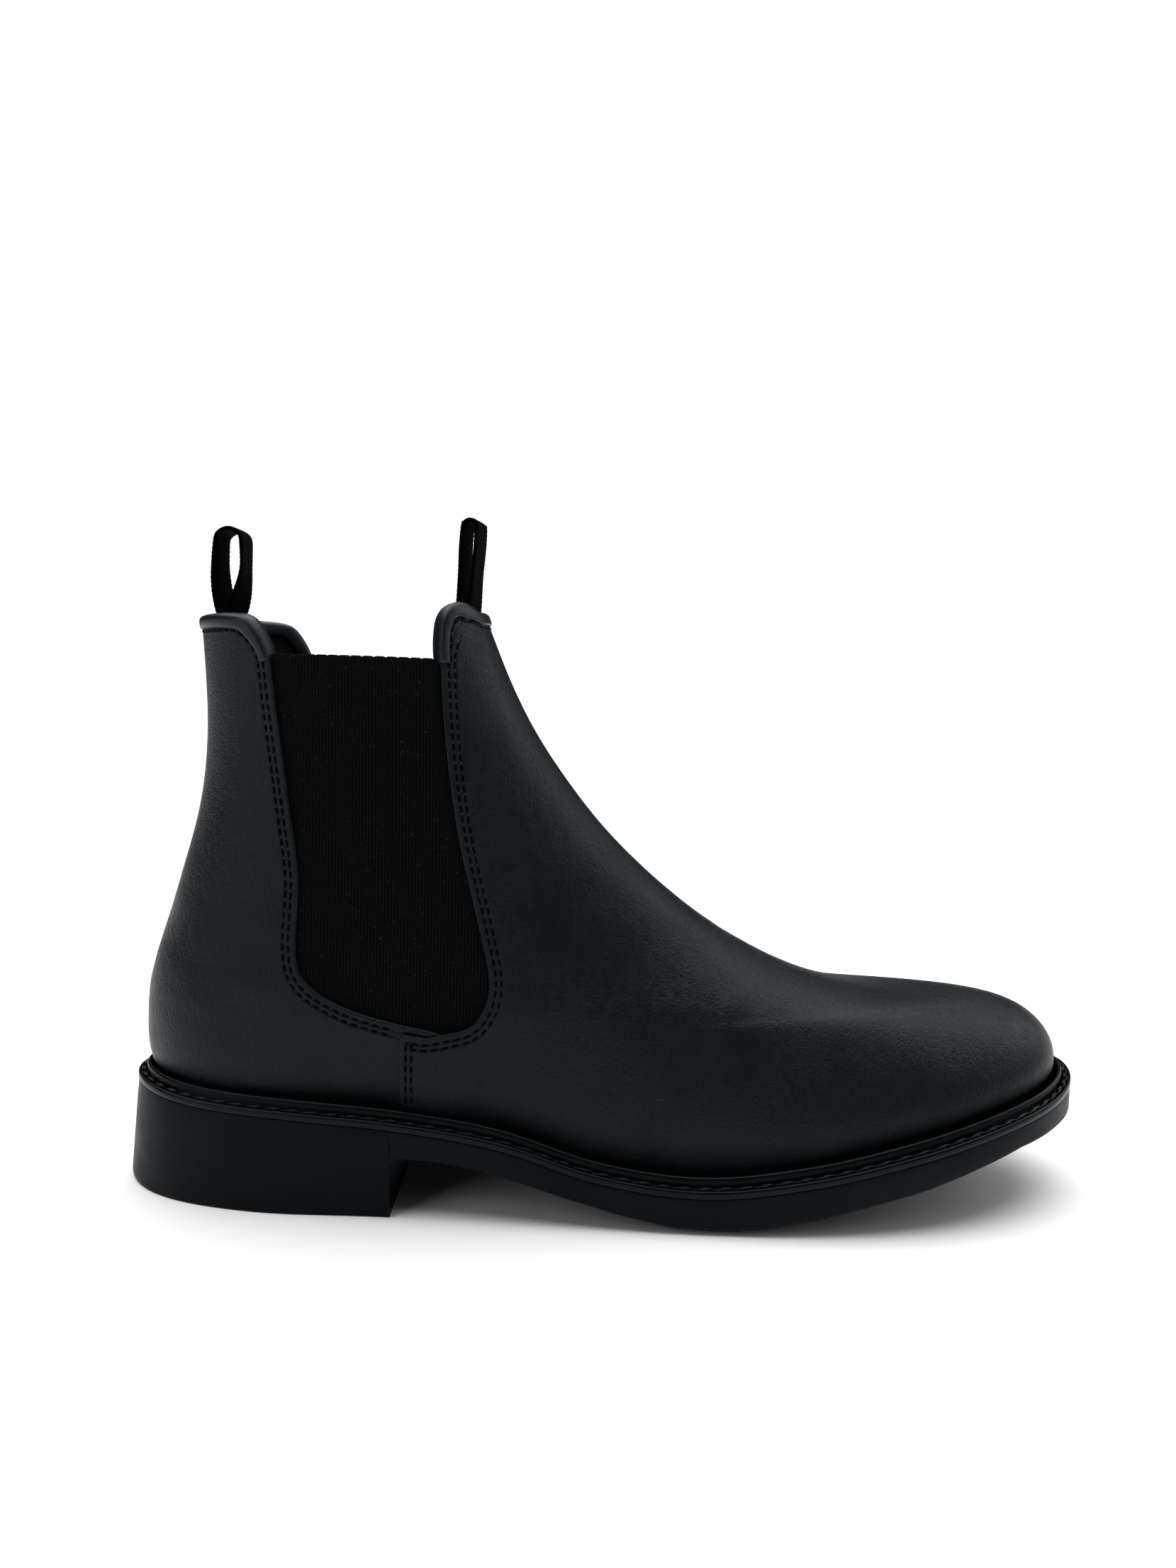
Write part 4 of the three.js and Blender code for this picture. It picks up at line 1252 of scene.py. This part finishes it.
def new_material(name, color, roughness, normal, specular, **more):
    """Start a Principled material; normal is a function of the node tree, and the looks before it may be."""
    made = bpy.data.materials.new(name)
    tree = empty_tree(made)
    value = lambda v: v(tree) if callable(v) else v
    color = value(color)
    inputs = {"Base Color": (*color, 1) if isinstance(color, tuple) else color, "Roughness": value(roughness),
              "Specular IOR Level": value(specular), "Normal": normal(tree)}
    inputs.update({key.replace("_", " "): v for key, v in more.items()})
    shader = node(tree, "ShaderNodeBsdfPrincipled", inputs)
    node(tree, "ShaderNodeOutputMaterial", {"Surface": shader.outputs[0]})
    return made


def leather_grain(tree, size):
    """Fine pebbles with soft valleys between them."""
    wander = node(tree, "ShaderNodeTexNoise", {"Vector": place(tree), "Scale": 1 / (size * 3)})
    inputs = {0: wander.outputs["Color"], "Scale": size * 0.8}
    warp = node(tree, "ShaderNodeVectorMath", inputs, operation="SCALE").outputs[0]
    at = vector_node(tree, "ADD", place(tree), warp)
    cells = node(tree, "ShaderNodeTexVoronoi", {"Vector": at, "Scale": 1 / size}, feature="DISTANCE_TO_EDGE")
    return ramp(tree, cells.outputs["Distance"], [(0, 0.0), (0.12, 0.55), (0.35, 1.0)], "EASE")


def by_edge(tree, stops, kind="LINEAR"):
    """A ramp over the distance from the panel's edge, given in millimetres."""
    share = math_node(tree, "DIVIDE", attribute(tree, "edge"), EDGE_SPAN)
    return ramp(tree, share, [(at / EDGE_SPAN, value) for at, value in stops], kind)


def leather_normal(tree):
    patchy = ramp(tree, noise(tree, 0.03, 3, 0.5), [(0.35, 0.45), (0.65, 1.0)])
    pebbles = math_node(tree, "MULTIPLY", leather_grain(tree, 0.0011), patchy)
    grain = bump(tree, pebbles, 0.00012, 0.7)
    wrinkle = noise(tree, 0.006, 5, 0.62, place(tree, (1.5, 1.0, 0.6)))
    ridged = math_node(tree, "ABSOLUTE", math_node(tree, "SUBTRACT", wrinkle, 0.5))
    creases = math_node(tree, "MULTIPLY", ramp(tree, ridged, [(0, 0.0), (0.05, 0.8), (0.3, 1.0)]), patchy)
    creased = bump(tree, creases, 0.0003, 0.4, grain)
    stops = [(0, 1), (1.45, 1), (2.1, 0.35), (2.75, 0.95), (3.2, 0.95), (3.8, 0.35), (4.6, 0.95), (6.5, 1)]
    return bump(tree, by_edge(tree, stops, "EASE"), 0.0006, 0.6, creased)


def leather_roughness(tree):
    return ramp(tree, noise(tree, 0.02, 4), [(0.3, 0.33), (0.7, 0.43)])


def leather_color(tree):
    """Blue-black, with painted shade down in the stitched grooves and just over the welt."""
    # painted shade: darker down in the stitched grooves beside the edge and under the collar
    stops = [(0, 1), (1.6, 1), (2.1, 0.6), (2.6, 1), (3.3, 1), (3.8, 0.6), (4.3, 1), (6.5, 1)]
    # painted shade just over the welt darkens the leather's colour here
    groove_and_welt_shade = math_node(tree, "MULTIPLY", by_edge(tree, stops), attribute(tree, "shade_over_welt"))
    tones = [(0.3, (0.0038, 0.005, 0.0062)), (0.7, (0.0052, 0.0066, 0.008))]
    return vector_node(tree, "MULTIPLY", ramp(tree, noise(tree, 0.012, 5, 0.6), tones), groove_and_welt_shade)


def leather_sheen(tree):
    # the painted shade over the welt also dims the leather's reflection there
    return math_node(tree, "MULTIPLY", attribute(tree, "shade_over_welt"), LEATHER_GLOSS)


def binding_normal(tree):
    grain = bump(tree, leather_grain(tree, 0.0008), 0.00005, 0.4)
    return bump(tree, noise(tree, 0.004, 4, 0.6, place(tree, (1, 1, 2))), 0.0003, 0.35, grain)


def lining_normal(tree):
    return bump(tree, noise(tree, 0.0006, 3, 0.6), 0.00008, 0.5)


def elastic_picks(tree):
    """Short stitches along each rib, half a stitch apart between neighbours."""
    split = node(tree, "ShaderNodeSeparateXYZ", {"Vector": place(tree)})
    phase = math_node(tree, "MULTIPLY", split.outputs["Z"], 2 * math.pi / PICK_PITCH)
    column = math_node(tree, "MULTIPLY", split.outputs["X"], math.pi / (GORE_RIB * MM))
    step = math_node(tree, "MULTIPLY", math_node(tree, "SIGN", math_node(tree, "SINE", column)), math.pi / 2)
    return math_node(tree, "SINE", math_node(tree, "ADD", phase, step))


def elastic_normal(tree):
    fuzz = bump(tree, noise(tree, 0.0003, 4, 0.7), 0.0001, 0.6)
    return bump(tree, elastic_picks(tree), 0.00012, 0.8, fuzz)


def elastic_color(tree):
    """Painted shade, dark between the ribs and between the stitches, with a few pale flecks of lint."""
    pick = math_node(tree, "MULTIPLY_ADD", elastic_picks(tree), 0.5, 0.5)
    pick = math_node(tree, "MULTIPLY_ADD", pick, 0.7, 0.3)
    # painted shade: the colour is darker down in the valleys between the ribs and between the stitches
    light = math_node(tree, "MULTIPLY", attribute(tree, "rib"), pick)
    shaded_weave = ramp(tree, light, [(0.0, (0.0005, 0.0005, 0.0006)), (0.5, (0.0018, 0.002, 0.0024)),
                               (1.0, (0.0056, 0.006, 0.0068))])
    lint = ramp(tree, noise(tree, 0.0007, 1, 0.4), [(0.735, 0.0), (0.76, 0.02)])
    return vector_node(tree, "ADD", shaded_weave, lint)


def tape_normal(tree):
    """Grosgrain: ribs across the tape."""
    phase = math_node(tree, "MULTIPLY", attribute(tree, "along"), 2 * math.pi / TAPE_RIB)
    ribs = math_node(tree, "SINE", phase)
    fuzz = bump(tree, noise(tree, 0.0003, 3, 0.6), 0.0001, 0.6)
    return bump(tree, ribs, 0.00022, 0.8, fuzz)


def rubber_normal(tree):
    moulded = bump(tree, noise(tree, 0.03, 2), 0.0008, 0.25)
    return bump(tree, noise(tree, 0.0006, 3, 0.6), 0.00003, 0.5, moulded)


def rubber_roughness(tree):
    return ramp(tree, noise(tree, 0.008, 5, 0.6), [(0.3, 0.38), (0.7, 0.5)])


def speckled(dark, light, size):
    return lambda tree: ramp(tree, noise(tree, size, 3, 0.6), [(0.35, dark), (0.65, light)])


def welt_color(tree):
    """Painted shade: darker down in the stitched channel and behind the rib."""
    plain = speckled((0.0014, 0.0018, 0.0026), (0.0024, 0.003, 0.004), 0.01)(tree)
    return vector_node(tree, "MULTIPLY", plain, attribute(tree, "shade"))


def welt_gloss(tree):
    """Painted shade: the channel and the corner behind the rib reflect little."""
    return math_node(tree, "MULTIPLY_ADD", attribute(tree, "shade"), 0.1, 0.01)


def fine_bump(size, depth):
    return lambda tree: bump(tree, noise(tree, size, 3, 0.6), depth, 0.6)


leather = new_material("upper_leather", leather_color, leather_roughness, leather_normal, leather_sheen,
                       Specular_Tint=SHEEN_TINT)
binding = new_material("binding_leather", speckled((0.004, 0.0048, 0.0065), (0.006, 0.007, 0.009), 0.01),
                       0.38, binding_normal, 0.2, Specular_Tint=SHEEN_TINT)
lining = new_material("lining", speckled((0.0045, 0.0045, 0.005), (0.008, 0.008, 0.009), 0.003), 0.85,
                      lining_normal, 0.1)
elastic = new_material("elastic", elastic_color, 0.8, elastic_normal, 0.04)
tape = new_material("tape", speckled((0.0003, 0.0003, 0.0004), (0.0007, 0.0007, 0.0008), 0.0005), 0.85,
                    tape_normal, 0.02)
rubber = new_material("outsole_rubber", speckled((0.0016, 0.0021, 0.003), (0.0026, 0.0032, 0.0044), 0.02),
                      rubber_roughness, rubber_normal, 0.07, Specular_Tint=SHEEN_TINT)
welt_rubber = new_material("welt_rubber", welt_color, 0.3, fine_bump(0.002, 0.0001), welt_gloss,
                           Specular_Tint=SHEEN_TINT)

# dark and light tone, size of the speckles, roughness, size and depth of the bumps, specular level, metallic
THREAD_TONES = (0.0003, 0.0003, 0.0004), (0.0008, 0.0008, 0.001)
PLAIN_LOOKS = {
    "sock": ((0.009, 0.009, 0.01), (0.016, 0.016, 0.017), 0.002, 0.9, (0.0008, 0.0001), 0.2, 0.0),
    "thread": (*THREAD_TONES, 0.0004, 0.6, (0.0002, 0.00005), 0.02, 0.0),
    "welt_thread": (*THREAD_TONES, 0.0004, 0.3, (0.0002, 0.00005), 0.16, 0.0),
    "fibreboard": ((0.2, 0.13, 0.08), (0.32, 0.22, 0.14), 0.0015, 0.8, (0.0006, 0.0001), 0.5, 0.0),
    "cork": ((0.16, 0.085, 0.035), (0.42, 0.25, 0.12), 0.002, 0.85, (0.0015, 0.0004), 0.5, 0.0),
    "foam": ((0.5, 0.46, 0.38), (0.62, 0.58, 0.5), 0.001, 0.9, (0.0008, 0.0003), 0.5, 0.0),
    "stiffener": ((0.3, 0.28, 0.25), (0.4, 0.38, 0.34), 0.001, 0.75, (0.0006, 0.0001), 0.5, 0.0),
    "shank_steel": ((0.42, 0.42, 0.43), (0.55, 0.55, 0.56), 0.004, 0.35, (0.001, 0.00005), 0.5, 1.0),
}
plain = {name: new_material(name, speckled(*tones), rough, fine_bump(*bumps), specular, Metallic=metallic)
         for name, (*tones, rough, bumps, specular, metallic) in PLAIN_LOOKS.items()}
sock_cloth, thread, welt_thread = plain["sock"], plain["thread"], plain["welt_thread"]

CAD_LOOKS = {"heel_core": plain["foam"], "shank": plain["shank_steel"], "cork_filler": plain["cork"],
             "insole_board": plain["fibreboard"], "toe_puff": plain["stiffener"],
             "heel_counter": plain["stiffener"], "back_seam_tape": tape}


def dress_cad_nodes():
    for name, material in CAD_LOOKS.items():
        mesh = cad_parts[name].data
        mesh.materials.clear()
        mesh.materials.append(material)


# ---- camera, floor and lights ----
CAMERA_AT = (139.1, -377.4, 153.2)
CAMERA_PITCH, CAMERA_YAW, CAMERA_ROLL = 4.03, 0.99, 0.99
CAMERA_LENS = 27.03
FLOOR_SIZE = 60.0
OVERHEAD_STRENGTH, OVERHEAD_SPREAD, OVERHEAD_TILT = 4.7, 80.0, (-12, -4, 0)
LIT_POINT = Vector((0, 0, 0.08))
# place and size in metres, power in watts
AREA_LIGHTS = {"left_front": ((-1.0, -0.8, 0.6), (0.9, 0.9), 4),
               "right_front": ((1.1, -0.5, 0.55), (0.7, 0.9), 1.5),
               "right_back": ((1.2, 0.4, 0.8), (0.9, 0.9), 7)}
WORLD_SEEN, WORLD_LIGHT = 1.0, 0.03


def make_camera():
    pitch, yaw, roll = (math.radians(v) for v in (CAMERA_PITCH, CAMERA_YAW, CAMERA_ROLL))
    ahead = Vector((math.sin(yaw) * math.cos(pitch), math.cos(yaw) * math.cos(pitch), -math.sin(pitch)))
    right = Vector((math.cos(yaw), -math.sin(yaw), 0))
    up = right.cross(ahead)
    right, up = right * math.cos(roll) + up * math.sin(roll), up * math.cos(roll) - right * math.sin(roll)
    data = bpy.data.cameras.new("camera")
    data.lens, data.sensor_width, data.clip_start = CAMERA_LENS, 36.0, 0.01
    camera = add_object("camera", data)
    turn = Matrix((right, up, -ahead)).transposed().to_4x4()
    camera.matrix_world = Matrix.Translation(Vector(to_frame([CAMERA_AT])[0])) @ turn
    bpy.context.scene.camera = camera


def floor_material():
    made = bpy.data.materials.new("studio_floor")
    tree = empty_tree(made)
    paper = ramp(tree, noise(tree, 0.4, 2), [(0, 0.86), (1, 0.9)])
    lit = node(tree, "ShaderNodeBsdfDiffuse", {"Color": paper}).outputs[0]
    node(tree, "ShaderNodeOutputMaterial", {"Surface": lit})
    return made


def make_floor():
    size = FLOOR_SIZE / 2
    mesh = bpy.data.meshes.new("floor")
    corners = [(-size, -size, 0), (size, -size, 0), (size, size, 0), (-size, size, 0)]
    mesh.from_pydata(corners, [], [(0, 1, 2, 3)])
    mesh.materials.append(floor_material())
    add_object("floor", mesh)


def overhead_light():
    """A wide soft source above, even over the whole floor."""
    data = bpy.data.lights.new("overhead", "SUN")
    data.energy, data.angle = OVERHEAD_STRENGTH, math.radians(OVERHEAD_SPREAD)
    made = add_object("overhead", data)
    made.rotation_euler = [math.radians(v) for v in OVERHEAD_TILT]


def area_light(name, at, size, power):
    data = bpy.data.lights.new(name, "AREA")
    data.shape, data.size, data.size_y, data.energy = "RECTANGLE", size[0], size[1], power
    made = add_object(name, data)
    made.location = at
    made.rotation_euler = (LIT_POINT - Vector(at)).to_track_quat("-Z", "Y").to_euler()


def make_world():
    """The studio's white surroundings: bright behind the boot, dimmer in what the leather reflects."""
    world = bpy.data.worlds.new("studio")
    tree = empty_tree(world)
    path = node(tree, "ShaderNodeLightPath").outputs["Is Camera Ray"]
    brighter = math_node(tree, "MULTIPLY", path, WORLD_SEEN - WORLD_LIGHT)
    strength = math_node(tree, "ADD", WORLD_LIGHT, brighter)
    back = node(tree, "ShaderNodeBackground", {"Color": (1, 1, 1, 1), "Strength": strength})
    node(tree, "ShaderNodeOutputWorld", {"Surface": back.outputs[0]})
    bpy.context.scene.world = world
    bpy.context.scene.view_settings.view_transform = "Standard"


def make_stage():
    make_camera()
    make_floor()
    make_world()
    overhead_light()
    for name, look in AREA_LIGHTS.items():
        area_light(name, *look)


make_stage()
dress_cad_nodes()
make_outsole()
make_welt()
make_welt_stitches()
make_sock()
make_leather_panels()
make_gore("elastic_outer", -1, "gore_outer")
make_gore("elastic_inner", 1, "gore_inner")
make_linings()
make_stitching()
make_binding("back_collar", back_collar_path(), "collar_binding_back", False)
make_binding("front_collar", front_collar_path(), "collar_binding_front", True)
make_loop("back_pull_loop", BACK_LOOP, "root", "back_loop", ["back_loop", "back_loop_tail"])
make_loop("front_pull_loop", FRONT_LOOP, "front_shaft", "front_loop", ["front_loop", "front_loop_tail"])
